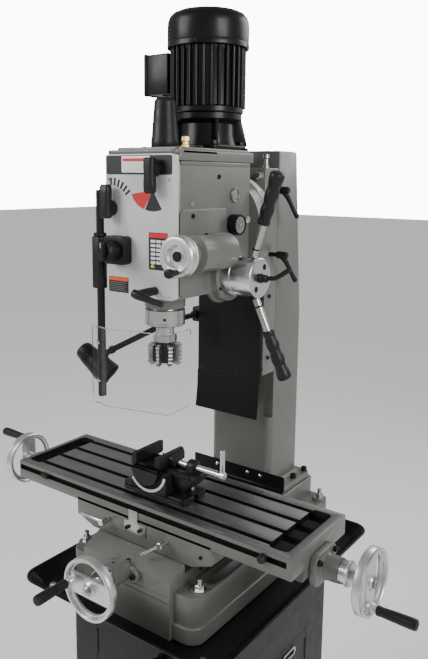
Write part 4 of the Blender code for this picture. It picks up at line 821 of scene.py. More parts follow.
# ---------------------------------------------------------------- saddle, table and vise
def make_saddle():
    """Saddle casting with its stop bracket, gib screws and two clamp levers."""
    low, high = MACHINE["saddle"]
    top, bottom, half, shoulder = high.z, 0.9183, 0.203, 0.149
    front, back = low.y, high.y
    outline = [(-half, top), (-half, 0.938), (-shoulder, bottom), (shoulder, bottom), (half, 0.938),
        (half, top)]
    body = prism(outline, "Y", front, back)
    rail = (-0.144, 0.0603, 0.0736)
    groove = [(rail[0] - rail[1], top + 0.005), (rail[0] - rail[1], top), (rail[0] - rail[2], top - 0.0253),
        (rail[0] + rail[2], top - 0.0253), (rail[0] + rail[1], top), (rail[0] + rail[1], top + 0.005)]
    body = soften(with_cuts(body, [prism(groove, "X", -0.22, 0.22)]), 0.0025)
    wings = []
    for side in (-1, 1):
        wing = [(side * 0.0985, bottom + 0.004), (side * 0.0985, 0.918), (side * 0.0868, 0.8964),
            (side * 0.128, 0.8964), (side * 0.136, bottom + 0.004)]
        wings.append((soften(prism(wing, "Y", front + 0.106, back), 0.0015, 2), CASTING))
    # A thin near-black strip under the saddle's front edge: painted shadow.
    shadow = box((-0.098, 0.098), (front + 0.0005, front + 0.01), (0.9183, 0.9186))
    nut = box((-0.0165, 0.0165), (-0.1395, -0.0995), (0.9012, 0.925))
    piece("saddle_body", "saddle_unit", [(body, CASTING), (nut, CASTING), (shadow, RECESS_SHADE)] + wings,
        replaces=["saddle"])
    plate = [(-0.045, 0.945), (0.02, 0.945), (0.02, 0.973), (-0.004, 0.973), (-0.004, 1.001),
        (-0.031, 1.001), (-0.031, 0.973), (-0.045, 0.973)]
    face = front - CLEAR
    stop = soften(prism(plate, "Y", face - 0.003, face), 0.0008, 2)
    piece("stop_bracket", "saddle_unit", [(stop, STEEL)])
    screws = [socket_screw("Y", spot, face - 0.0095, face - 0.0033, 0.0048, DARK,
        -1) for spot in ((-0.033, 0.957), (0.005, 0.959))]
    screws += [socket_screw("Y", (x, 0.95), face - 0.003, face, 0.0042, DARK, -1) for x in (0.175,)]
    piece("saddle_screws", "saddle_unit", screws)
    for name, x, degrees in (("left", -0.095, 172.0), ("right", 0.082, 215.0)):
        z = 0.957
        reach = 0.058
        angle = math.radians(degrees)
        tip = (x + reach * math.cos(angle), face - 0.033, z + reach * math.sin(angle))
        mid = (x + 0.5 * reach * math.cos(angle), face - 0.027, z + 0.5 * reach * math.sin(angle))
        hub = [(0.0, face), (0.0062, face), (0.0062, face - 0.012), (0.008, face - 0.014),
            (0.008, face - 0.029), (0.0062, face - 0.0303), (0.0, face - 0.0303)]
        arm = sweep([(x, face - 0.022, z), mid, tip], [0.0056, 0.004, 0.0046])
        shapes = [(turned(hub, "Y", (x, z), FINE), CHROME), (arm, CHROME)]
        piece(f"saddle_clamp_{name}", f"saddle_lock_{name}", shapes,
            replaces=[f"saddle_lock_lever_{name}"])


def make_table():
    """Work table: ground top between four T-slots, chip troughs, front groove with its two travel stops."""
    low, high = MACHINE["table"]
    top = high.z
    bottom = top - 0.045
    mid = -0.144
    body = box((low.x, high.x), (low.y, high.y), (bottom, top))
    cuts = []
    for trough in ((-0.405, -0.36), (0.326, 0.374)):
        cuts.append(prism(rounded(trough, (mid - 0.1, mid + 0.1), 0.012), "Z", top - 0.014, top + 0.01))
    for offset in (-0.087, -0.029, 0.029, 0.087):
        y = mid + offset
        foot = top - 0.022
        outline = [(y - 0.007, top + 0.01), (y - 0.007, foot + 0.01), (y - 0.012, foot + 0.01),
            (y - 0.012, foot), (y + 0.012, foot), (y + 0.012, foot + 0.01), (y + 0.007, foot + 0.01),
            (y + 0.007, top + 0.01)]
        cuts.append(prism(outline, "X", -0.395, 0.364))
    cuts.append(box((low.x + 0.004, high.x - 0.012), (low.y - 0.01, low.y + 0.009), (0.998, 1.011)))
    cuts.append(box((-0.5, 0.5), (mid - 0.016, mid + 0.016), (0.94, 0.985)))
    body = soften(with_cuts(body, cuts), 0.0009, 2)
    rail = [(mid - 0.06, bottom + 0.004), (mid - 0.06, bottom), (mid - 0.073, bottom - 0.025),
        (mid - 0.018, bottom - 0.025), (mid - 0.018, bottom + 0.004)]
    mirrored = [(2 * mid - y, z) for y, z in rail]
    shapes = [(body, CASTING), (prism(rail, "X", low.x + 0.001, high.x - 0.001), CASTING),
        (prism(mirrored, "X", low.x + 0.001, high.x - 0.001), CASTING)]
    made = piece("table_body", "table_unit", shapes, replaces=["table"])
    made.data.materials.append(TABLE_STEEL)
    made.data.materials.append(RECESS_SHADE)
    # Slot walls, slot floors and the front groove take the near-black material: painted shade in the
    # recesses.
    for face in made.data.polygons:
        height = face.center.z
        inside = abs(face.center.y - mid) < 0.1015 and height < top - 0.0005 and height > top - 0.0225
        groove = (low.y + 0.0004 < face.center.y < low.y + 0.0095
                  and 0.9975 < height < 1.0115)
        if face.normal.z > 0.9 and height > top - 0.0004:
            face.material_index = 1
        elif groove or (inside and -0.407 < face.center.x < 0.376):
            face.material_index = 2
    front = low.y
    stops = []
    for x in (-0.316,):
        stops.append((soften(box((x - 0.011, x + 0.011), (front - 0.007, front + 0.0085), (0.9985, 1.0105)),
            0.001, 2), DARK))
    piece("travel_stops", "table_unit", stops)
    knob = [(0.0, front - CLEAR), (0.0095, front - CLEAR), (0.0095, front - 0.01), (0.008, front - 0.0125),
        (0.0, front - 0.013)]
    knobs = [(turned(knob, "Y", (x, 1.0045)), GRIP) for x in (0.33,)]
    piece("stop_knobs", "table_unit", knobs)


def make_vise():
    """Black tilting vise: cradle with a degree scale, half-round rocker, jaws, screw bearing and crank."""
    low, high = MACHINE["vise_base"]
    px, pz, radius = -0.015, 1.088, 0.0497
    bottom = low.z
    mid = 0.5 * (low.y + high.y)
    y0, y1 = low.y, high.y
    centre = (px, pz)
    seat = (216, 347, 32)
    cradle = [(0.042, 1.029), (-0.062, 1.029), (-0.062, 1.053), (-0.057, 1.0565)]
    cradle += arc_points(centre, radius + 0.0006, *seat)
    cradle += [(0.042, 1.0766)]
    cradle = soften(prism(cradle, "Y", y0, y1), 0.0012, 2)
    plate = prism(rounded((-0.098, 0.092), (y0 + 0.006, y1 - 0.006), 0.014), "Z", bottom, bottom + 0.014)
    slots = []
    for inner, outer in ((-0.074, -0.115), (0.07, 0.11)):
        outline = rounded(sorted((inner + math.copysign(0.007, -outer), outer)), (mid - 0.007, mid + 0.007),
            0.0068)
        slots.append(prism(outline, "Z", bottom - 0.01, bottom + 0.03))
    plate = soften(with_cuts(plate, slots), 0.0022)
    band = arc_points(centre, 0.0508, *seat) + arc_points(centre, 0.057, *seat)[::-1]
    shapes = [(cradle, DARK), (plate, DARK), (prism(band, "Y", y0 - 0.0006, y0 - 0.0001), WHITE_INK)]
    for k in range(43):
        reach = 0.004 if k % 5 == 0 else 0.0024
        mark = box((px + 0.051, px + 0.051 + reach), (y0 - 0.0009, y0 - 0.0005),
            (pz - 0.0002, pz + 0.0002))
        shapes.append((turn(mark, 14.5 + 3.0 * k, "Y", (px, 0.0, pz)), BLACK_INK))
    piece("vise_foot", "table_unit", shapes, replaces=["vise_base"])
    bolts = []
    for x in (-0.084, 0.08):
        bolts += hex_bolt("Z", (x, mid), bottom + 0.0143, bottom + 0.024, 0.015, DARK)
        bolts.append((rod(0.0048, "Z", (x, mid), bottom + 0.02, bottom + 0.032), STEEL))
    piece("vise_bolts", "table_unit", bolts)
    half = (180, 360, 40)
    rocker = arc_points(centre, radius, *half)
    dish = arc_points(centre, 0.039, *half) + [(px + 0.039, 1.0855), (px - 0.039, 1.0855)]
    recess = [prism(dish, "Y", y0 - 0.01, y0 + 0.008), prism(dish, "Y", y1 - 0.008, y1 + 0.01)]
    rocker = prism(rocker, "Y", y0 + 0.0005, y1 - 0.0005)
    for cutter in recess:
        rocker = with_cuts(rocker, [cutter])
    rib = []
    for side in (y0 + 0.0045, y1 - 0.0085):
        ring = arc_points(centre, 0.029, *half) + arc_points(centre, 0.0262, *half)[::-1]
        rib.append((prism(ring, "Y", side, side + 0.004), DARK))
    bed = soften(box((-0.06, 0.0935), (mid - 0.03, mid + 0.03), (1.078, 1.09)), 0.0016, 2)
    jaw = [(-0.063, 1.086), (-0.063, 1.104), (-0.0585, 1.118), (-0.052, 1.118), (-0.052, 1.086)]
    jaw = soften(prism(jaw, "Y", mid - 0.05, mid + 0.05), 0.0016, 2)
    jaw_plate = soften(box((-0.052, -0.048), (mid - 0.05, mid + 0.05), (1.0905, 1.1178)), 0.0006, 1)
    belly = [(0.044, 1.064), (0.06, 1.048), (0.08, 1.048), (0.108, 1.078), (0.108, 1.088),
        (0.044, 1.088)]
    belly = soften(prism(belly, "Y", mid - 0.027, mid + 0.027), 0.0035)
    bearing = arc_points((mid, 1.1), 0.0165, 0, 180, 20) + [(mid - 0.02, 1.082), (mid + 0.02, 1.082)]
    bearing = prism(bearing, "X", 0.072, 0.092)
    bearing = soften(with_cuts(bearing, [rod(0.0079, "X", (mid, 1.1), 0.06, 0.1)]), 0.0022, 2)
    shapes = [(rocker, DARK), (bed, DARK), (jaw, DARK), (jaw_plate, DARK), (belly, DARK),
        (bearing, DARK)] + rib
    for y in (mid - 0.034, mid + 0.034):
        shapes.append(socket_screw("X", (y, 1.104), -0.0654, -0.0632, 0.005, STEEL, -1))
    piece("vise_upper", "vise_bed", shapes, replaces=["vise_body"])
    block = [(0.011, 1.0903), (0.011, 1.1176), (0.016, 1.1176), (0.021, 1.106), (0.021, 1.0903)]
    block = soften(prism(block, "Y", mid - 0.048, mid + 0.048), 0.0014, 2)
    plate = soften(box((0.007, 0.011), (mid - 0.048, mid + 0.048), (1.0908, 1.1178)), 0.0006, 1)
    knuckle = soften(box((0.018, 0.041), (mid - 0.016, mid + 0.016), (1.0903, 1.114)), 0.005, 4)
    knuckle = with_cuts(knuckle, [rod(0.0079, "X", (mid, 1.1), 0.025, 0.05)])
    piece("vise_jaw_block", "vise_jaw", [(block, DARK), (plate, DARK), (knuckle, DARK)],
        (0.007, mid, 1.1), ["vise_moving_jaw"])
    arm = 0.163
    shapes = [(rod(0.0072, "X", (mid, 1.1), 0.028, arm + 0.004), CHROME)]
    for k in range(35):
        x = 0.046 + 0.003 * k
        if not 0.0705 < x < 0.0925:
            shapes.append((turned([(0.007, x), (0.0075, x + 0.0007), (0.007, x + 0.0014)], "X",
                (mid, 1.1), FINE), STEEL))
    hub = [(0.0, arm - 0.004), (0.008, arm - 0.004), (0.009, arm - 0.0028), (0.009, arm + 0.006),
        (0.0078, arm + 0.007), (0.0, arm + 0.007)]
    shapes.append((turned(hub, "X", (mid, 1.1)), CHROME))
    bar = rounded((mid - 0.0065, mid + 0.0065), (1.0935, 1.16), 0.0055)
    shapes.append((soften(prism(bar, "X", arm - 0.002, arm + 0.003), 0.001, 2), CHROME))
    piece("vise_lead_screw", "vise_spindle", shapes, (arm, mid, 1.1), ["vise_screw"])


# ---------------------------------------------------------------- head slide
def make_slide():
    """Head slide with its swivel seat, degree scale, bolts, cover sheet and clamp levers."""
    low, high = MACHINE["head_slide"]
    front, rear, x = 0.097, 0.16, 0.095
    section = [(-x, front), (x, front), (x, rear), (0.0626, rear), (0.0756, 0.1457), (-0.0756, 0.1457),
        (-0.0626, rear), (-x, rear)]
    body = soften(prism(section, "Z", low.z, high.z), 0.003)
    seat_z = 1.64
    radius = 0.125
    seat = [(0.0, front + 0.004), (radius, front + 0.004), (radius, 0.0625), (radius - 0.0018, 0.0603),
        (0.0, 0.0603)]
    nut = soften(box((-0.0185, 0.0185), (front + 0.01, 0.1995), (1.3, 1.345)), 0.0015, 2)
    nut = with_cuts(nut, [rod(0.0114, "Z", (0.0, 0.185), 1.29, 1.355)])
    piece("slide_body", "slide_unit", [(body, CASTING), (turned(seat, "Y", (0.0, seat_z), 96),
        CASTING), (nut, CASTING)], replaces=["head_slide"])
    scale = []
    for k in range(25):
        angle = math.radians(-48 + 96 * k / 24)
        scale.append((radius + 0.0002, angle))
    strip_in = [along("Y", r * math.sin(a), seat_z + r * math.cos(a), 0) for r, a in scale]
    rings = []
    for depth, grow in ((0.066, 0.0), (0.066, 0.0008), (0.086, 0.0008), (0.086, 0.0)):
        rings.append([Vector((p.x, depth, p.z)) + (p - Vector((0, 0,
            seat_z))).normalized() * grow for p in strip_in])
    strip = bmesh.new()
    lines = [[strip.verts.new(point) for point in ring] for ring in rings]
    for a, b in zip(lines, lines[1:] + lines[:1]):
        for i in range(len(a) - 1):
            strip.faces.new((a[i], a[i + 1], b[i + 1], b[i]))
    strip.faces.new([line[0] for line in lines])
    strip.faces.new([line[-1] for line in lines])
    bmesh.ops.recalc_face_normals(strip, faces=strip.faces)
    shapes = [(strip, WHITE_INK)]
    for k in range(-45, 46, 1):
        reach = 0.0095 if k % 15 == 0 else 0.0065 if k % 5 == 0 else 0.004
        mark = box((-0.0002, 0.0002), (0.0664, 0.0664 + reach), (seat_z + radius + 0.0009,
            seat_z + radius + 0.0012))
        shapes.append((turn(mark, float(k), "Y", (0.0, 0.0, seat_z)), BLACK_INK))
    piece("swivel_scale", "slide_unit", shapes)
    bolts = []
    for sx, z in ((-0.078, 1.762), (0.078, 1.762), (-0.078, 1.52), (0.078, 1.52)):
        bolts += hex_bolt("Y", (sx, z), front - 0.012, front - CLEAR, 0.015, CHROME, -1)
    piece("swivel_bolts", "slide_unit", bolts)
    top = []
    stem = [(0.0, high.z + 0.0003), (0.0085, high.z + 0.0003), (0.0085, high.z + 0.006),
        (0.0058, high.z + 0.008), (0.0058, high.z + 0.022), (0.009, high.z + 0.024),
        (0.009, high.z + 0.033), (0.0, high.z + 0.034)]
    top.append((turned(stem, "Z", (0.08, 0.122), FINE), CHROME))
    top.append((turned(stem, "Z", (-0.08, 0.122), FINE), CHROME))
    piece("slide_top_studs", "slide_unit", top)
    gib = []
    for z in (1.3, 1.38, 1.46, 1.64):
        gib.append(socket_screw("X", (0.124, z), x + CLEAR, x + 0.0045, 0.0052, DARK))
        gib.append(socket_screw("X", (0.124, z), -x - 0.0045, -x - CLEAR, 0.0052, DARK, -1))
    piece("gib_screws", "slide_unit", gib)
    cover_low = MACHINE["way_cover"][0]
    side, face = 0.098, cover_low.y + 0.009
    sheet = 0.0022
    outline = rounded((-side, side), (face, 0.13), 0.006)
    inner = rounded((-side + sheet, side - sheet), (face + sheet, 0.14), 0.004)
    sleeve = with_cuts(prism(outline, "Z", 1.24, 1.51), [prism(inner, "Z", 1.2, 1.6),
        box((-0.2, 0.2), (0.0967, 0.2), (1.2, 1.6))])
    flap = [(face + 0.0002, 1.247), (face + 0.0022, 1.247), (face + 0.0008, 1.2), (face - 0.004, 1.16),
        (face - 0.0065, cover_low.z), (face - 0.0088, cover_low.z), (face - 0.0063, 1.16),
        (face - 0.0014, 1.2)]
    shapes = [(sleeve, BLACK), (soften(prism(flap, "X", -0.097, 0.097), 0.0004, 1), BLACK)]
    piece("way_cover_sheet", "slide_unit", shapes, replaces=["way_cover"])
    rivets = []
    for rx in (-0.08, -0.027, 0.027, 0.08):
        dome = [(0.0, face - CLEAR), (0.0042, face - CLEAR), (0.0036, face - 0.0016),
            (0.0018, face - 0.0024), (0.0, face - 0.0025)]
        rivets.append((turned(dome, "Y", (rx, 1.252), 12), DARK))
    for rz in (1.275, 1.495):
        dome = [(0.0, side + CLEAR), (0.0042, side + CLEAR), (0.0036, side + 0.0016), (0.0, side + 0.0025)]
        rivets.append((turned(dome, "X", (0.0935, rz), 12), DARK))
    piece("way_cover_screws", "slide_unit", rivets)
    for name, z in (("upper", 1.726), ("lower", 1.567)):
        y = 0.124
        start = x + CLEAR
        stem = [(0.0, start), (0.0056, start), (0.0056, start + 0.02), (0.0088, start + 0.022),
            (0.0094, start + 0.03), (0.0088, start + 0.046), (0.007, start + 0.05), (0.0, start + 0.05)]
        arm = sweep([(start + 0.034, y, z - 0.001), (start + 0.042, y + 0.008, z - 0.016),
            (start + 0.05, y + 0.018, z - 0.04), (start + 0.0585, y + 0.029, z - 0.064)],
            [0.008, 0.0062, 0.0052, 0.0062])
        tip = sweep([(start + 0.0575, y + 0.0275, z - 0.062), (start + 0.0595, y + 0.03, z - 0.0675)],
            [0.0062, 0.004], per_span=2)
        piece(f"slide_clamp_{name}", f"slide_lock_{name}",
            [(turned(stem, "X", (y, z), FINE), PLASTIC), (arm, PLASTIC), (tip, PLASTIC)],
            replaces=[f"slide_lock_lever_{name}"])


# ---------------------------------------------------------------- head
def make_head():
    """Gearbox casting: side ribs, quill boss, feed housings, swivel flange, plugs and sight glass."""
    x, front, rear = 0.094, -0.244, 0.036
    z0, z1 = 1.498, 1.789
    boss_z = MACHINE["head_casting"][0].z
    spindle = (0.0, -0.173)
    feed, feed_y = 1.537, -0.08
    fine = (0.131, 1.598)
    body = prism(rounded((-x, x), (front, rear), 0.012), "Z", z0, z1)
    body = soften(with_cuts(body, [rod(0.038, "Z", spindle, 1.4, 1.6, ROUND)]), 0.004)
    flange = [(0.0, rear - 0.01), (0.125, rear - 0.01), (0.125, 0.0578), (0.1228, 0.06), (0.0, 0.06)]
    boss = [(0.038, boss_z), (0.044, boss_z), (0.046, boss_z + 0.002), (0.0465, boss_z + 0.02),
        (0.05, z0 - 0.006), (0.058, z0 + 0.001), (0.038, z0 + 0.001)]
    barrel = [(0.0, 0.06), (0.066, 0.088), (0.064, 0.0945), (0.06, 0.0975), (0.058, 0.102),
        (0.058, 0.1165), (0.0562, 0.1185), (0.0, 0.1185)]
    worm = [(0.0, front), (0.0385, front), (0.04, front + 0.0015), (0.04, front + 0.018),
        (0.0385, front + 0.0195), (0.0385, front + 0.05), (0.04, front + 0.055), (0.04, -0.126),
        (0.036, -0.1222), (0.0, -0.1222)]
    shapes = [(body, CASTING), (turned(flange, "Y", (0.0, 1.64), 96), CASTING),
        (turned(boss, "Z", spindle, 64), CASTING), (turned(barrel, "X", (feed_y, feed), 64), CASTING),
        (turned(worm, "Y", fine, 64), CASTING)]
    neck = soften(box((0.07, 0.118), (front + 0.034, -0.1), (1.566, 1.628)), 0.012, 4)
    shapes.append((neck, CASTING))
    for side in (-1, 1):
        pad = rounded((front + 0.004, -0.066), (1.502, 1.688), 0.012)
        pad = prism(pad, "X", *sorted((side * 0.09, side * 0.0965)))
        shapes.append((soften(pad, 0.0022, 2), CASTING))
    shapes.append((soften(box((0.0935, 0.096), (front + 0.006, rear - 0.012), (1.78, 1.7885)), 0.001, 2),
        CASTING))
    piece("gearbox", "head", shapes, replaces=["head_casting"])
    screws = []
    for spot in ((-0.198, 1.674), (-0.1, 1.757)):
        grow = 0.0028 if spot[1] < 1.69 else 0.0
        screws.append(socket_screw("X", spot, x + grow + CLEAR, x + grow + 0.0026, 0.0054, DARK))
        screws.append(socket_screw("X", spot, -x - grow - 0.0026, -x - grow - CLEAR, 0.0054, DARK, -1))
    screws.append(socket_screw("X", (-0.198, 1.699), x + CLEAR, x + 0.0024, 0.0046, CHROME))
    for k in range(3):
        angle = math.radians(90 + 120 * k)
        spot = (feed_y + 0.0515 * math.cos(angle), feed + 0.0515 * math.sin(angle))
        screws.append(socket_screw("X", spot, 0.1187, 0.1208, 0.0042, DARK))
    screws.append(socket_screw("Z", (fine[0], -0.195), fine[1] + 0.0385, fine[1] + 0.0412, 0.004, DARK))
    piece("gearbox_plugs", "head", screws)
    sight = (-0.037, 1.716)
    bezel = [(0.0125, x + CLEAR), (0.017, x + CLEAR), (0.017, x + 0.003), (0.015, x + 0.0045),
        (0.0125, x + 0.003)]
    glass = [(0.0, x + CLEAR), (0.0128, x + CLEAR), (0.0128, x + 0.0012), (0.009, x + 0.0026),
        (0.0, x + 0.003)]
    piece("sight_glass", "head", [(turned(bezel, "X", sight, ROUND), CASTING),
        (turned(glass, "X", sight, ROUND), WINDOW)])
    make_dial()
    make_cover()
    make_front_panel()


def make_dial():
    """Depth dial on the head's right flank: black housing, pale face with marks, pointer and clamp knob."""
    y, z = -0.046, 1.649
    start = 0.0945
    case = [(0.0, start), (0.0225, start), (0.024, start + 0.002), (0.024, start + 0.022),
        (0.0225, start + 0.0245), (0.0198, start + 0.0245), (0.0193, start + 0.0215), (0.0, start + 0.0215)]
    face = start + 0.0217
    disc = [(0.0, face), (0.019, face), (0.019, face + 0.0004), (0.0, face + 0.0004)]
    shapes = [(turned(case, "X", (y, z)), PLASTIC), (turned(disc, "X", (y, z)), DIAL_FACE)]
    for k in range(40):
        reach = 0.0042 if k % 5 == 0 else 0.0024
        mark = box((face + 0.0003, face + 0.0007), (y - 0.00022, y + 0.00022),
            (z + 0.0182 - reach, z + 0.0182))
        shapes.append((turn(mark, 9.0 * k, "X", (0.0, y, z)), WHITE_INK))
    pointer = box((face + 0.0006, face + 0.0012), (y - 0.0006, y + 0.0006), (z - 0.004, z + 0.0135))
    shapes.append((turn(pointer, -50.0, "X", (0.0, y, z)), RED_INK))
    shapes.append((rod(0.0024, "X", (y, z), face, face + 0.0022), CHROME))
    piece("depth_dial", "head", shapes)
    knob_y, knob_z = -0.013, 1.66
    knob = [(0.0, start), (0.0045, start), (0.0045, start + 0.01), (0.0085, start + 0.012),
        (0.0085, start + 0.022), (0.007, start + 0.024), (0.0, start + 0.024)]
    piece("dial_clamp_knob", "head", [(turned(knob, "X", (knob_y, knob_z), FINE), CHROME)])


def make_cover():
    """Top cover of the gearbox with its raised deck, screws, oil plug and the drawbar's cap."""
    low, high = MACHINE["head_top_cover"]
    spindle = (0.0, -0.173)
    motor = (0.0, -0.016)
    lid = prism(rounded((low.x, high.x), (-0.244, high.y), 0.014), "Z", low.z + 0.0001, high.z - 0.006)
    hood = prism(rounded((low.x, high.x), (low.y, -0.1), 0.012), "Z", 1.8034, high.z - 0.006)
    deck = prism(rounded((-0.09, 0.09), (-0.236, 0.04), 0.014), "Z", 1.802, high.z)
    holes = [(0.02, spindle), (0.016, motor)]
    parts = []
    for shape, width in ((lid, 0.0035), (hood, 0.0035), (deck, 0.0028)):
        cut = [rod(r, "Z", c, 1.77, 1.83, ROUND) for r, c in holes]
        parts.append((soften(with_cuts(shape, cut), width), CASTING))
    piece("cover_lid", "head", parts, replaces=["head_top_cover"])
    screws = []
    for x in (-0.08, 0.08):
        for y in (-0.15, 0.03):
            screws.append(socket_screw("Z", (x, y), high.z + CLEAR, high.z + 0.0055, 0.005, DARK))
    piece("cover_screws", "head", screws)
    z = high.z + CLEAR
    plug = [(0.0, z), (0.0088, z), (0.0088, z + 0.004), (0.0065, z + 0.0055), (0.0065, z + 0.01),
        (0.009, z + 0.012), (0.009, z + 0.0205), (0.007, z + 0.0225), (0.0, z + 0.0225)]
    piece("oil_plug", "head", [(turned(plug, "Z", (0.078, -0.2), 6), BRASS)])
    cap_low, cap_high = MACHINE["drawbar_cap"]
    cap = [(0.0275, cap_low.z), (0.0302, cap_low.z), (0.031, cap_low.z + 0.0015), (0.031, 1.834),
        (0.03, 1.8365), (0.0237, 1.916), (0.0222, 1.9205), (0.019, 1.9235), (0.0, cap_high.z),
        (0.0, 1.92), (0.018, 1.9195), (0.0275, 1.834)]
    piece("drawbar_cover", "head", [(turned(cap, "Z", spindle, 64), PLASTIC)],
        replaces=["drawbar_cap"])


def plate_on_panel(outline, front, thickness=0.0008, width=0.0):
    """A thin plate or label that lies on the front panel."""
    shape = prism(outline, "Y", front - thickness, front - 0.0001)
    return soften(shape, width, 1) if width else shape


def make_front_panel():
    """Silver front panel: dark head band, blank nameplate, lever index plates, chart and warning label."""
    low, high = MACHINE["front_panel"]
    front, back = low.y, high.y
    sheet = 0.003
    outline = rounded((low.x, high.x), (low.z, high.z), 0.007)
    hollow = prism(rounded((low.x + sheet, high.x - sheet), (low.z + sheet, high.z - sheet), 0.005), "Y",
        front + sheet, back + 0.01)
    holes = [(-0.077, 1.687), (0.049, 1.773), (-0.05, 1.598), (0.046, 1.516)]
    cuts = [hollow] + [rod(0.0086, "Y", spot, front - 0.01, front + 0.01) for spot in holes]
    shell = soften(with_cuts(prism(outline, "Y", front, back), cuts), 0.0016, 3)
    piece("panel_shell", "head", [(shell, PANEL)], replaces=["front_panel"])
    band = prism(rounded((low.x + 0.003, high.x - 0.003), (1.76, high.z - 0.003), 0.005), "Y",
        front - 0.0006, front - 0.0001)
    band = with_cuts(band, [rod(0.0086, "Y", holes[1], front - 0.01, front + 0.01)])
    plate = plate_on_panel(rounded((-0.046, 0.034), (1.764, 1.7985), 0.003), front - 0.0008, 0.0012, 0.0003)
    field = plate_on_panel(rounded((-0.042, 0.03), (1.767, 1.7955), 0.002), front - 0.002, 0.0004)
    stripe = plate_on_panel(rounded((-0.042, 0.03), (1.7875, 1.7935), 0.001), front - 0.0024, 0.0003)
    shapes = [(band, BLACK_INK), (plate, ALUMINIUM), (field, WHITE_INK), (stripe, RED_INK)]
    for x in (-0.044, 0.032):
        dome = [(0.0, front - 0.0019), (0.0012, front - 0.0019), (0.0009, front - 0.0027),
            (0.0, front - 0.0028)]
        shapes.append((turned(dome, "Y", (x, 1.782), 12), CHROME))
    piece("nameplate", "head", shapes)
    marks = []
    pivot = (-0.077, 1.687)
    for k in range(6):
        tilt = math.radians(92 - 11 * k)
        near, far, half = 0.05, 0.066, 0.0028
        blade = [(near, -half * 0.8), (far, -half), (far, half), (near, half * 0.8)]
        blade = [(pivot[0] + a * math.cos(tilt) - b * math.sin(tilt),
            pivot[1] + a * math.sin(tilt) + b * math.cos(tilt)) for a, b in blade]
        marks.append((prism(blade, "Y", front - 0.0005, front - 0.0001), BLACK_INK))
    red = [(0.04, 1.728)]
    red += [(0.04 + 0.06 * math.sin(math.radians(t)),
        1.728 - 0.044 * math.cos(math.radians(t))) for t in range(-78, -20, 6)]
    marks.append((prism(red, "Y", front - 0.0006, front - 0.0001), RED_INK))
    dark = [(0.04, 1.728)]
    dark += [(0.04 + 0.056 * math.sin(math.radians(t)),
        1.728 - 0.044 * math.cos(math.radians(t))) for t in range(-22, 30, 6)]
    marks.append((prism(dark, "Y", front - 0.0006, front - 0.0001), BLACK_INK))
    piece("lever_index", "head", marks)
    chart = [(plate_on_panel(rounded((0.029, 0.08), (1.561, 1.64), 0.002), front, 0.0006), BLACK_INK)]
    chart.append((plate_on_panel(rounded((0.03, 0.079), (1.629, 1.639), 0.001), front - 0.0006, 0.0003),
        RED_INK))
    for row in range(6):
        z = 1.6245 - 0.009 * row
        for x0, x1 in ((0.0345, 0.0475), (0.05, 0.062), (0.0645, 0.0765)):
            cell = rounded((x0, x1), (z - 0.006, z), 0.0008, 2)
            chart.append((plate_on_panel(cell, front - 0.0006, 0.0003), WHITE_INK))
    sign = [(0.0335, 1.5655), (0.046, 1.5655), (0.03975, 1.576)]
    chart.append((plate_on_panel(sign, front - 0.0006, 0.0004), YELLOW_INK))
    piece("speed_chart", "head", chart)
    label = [(plate_on_panel(rounded((-0.088, -0.03), (1.503, 1.537), 0.002), front, 0.0006), BLACK_INK),
        (plate_on_panel(rounded((-0.087, -0.031), (1.5285, 1.5362), 0.001), front - 0.0006, 0.0003),
        ORANGE_INK)]
    for row in range(5):
        z = 1.5255 - 0.0042 * row
        bar = rounded((-0.084, -0.036 - 0.006 * (row % 2)), (z - 0.0016, z), 0.0004, 2)
        label.append((plate_on_panel(bar, front - 0.0006, 0.0002), CASTING))
    piece("caution_label", "head", label)
    screws = []
    for spot in ((-0.086, 1.75), (0.086, 1.75), (0.086, 1.508)):
        dome = [(0.0, front - 0.0001), (0.0034, front - 0.0001), (0.003, front - 0.0013),
            (0.0, front - 0.002)]
        screws.append((turned(dome, "Y", spot, FINE), CHROME))
    piece("panel_screws", "head", screws)
    make_controls(front)


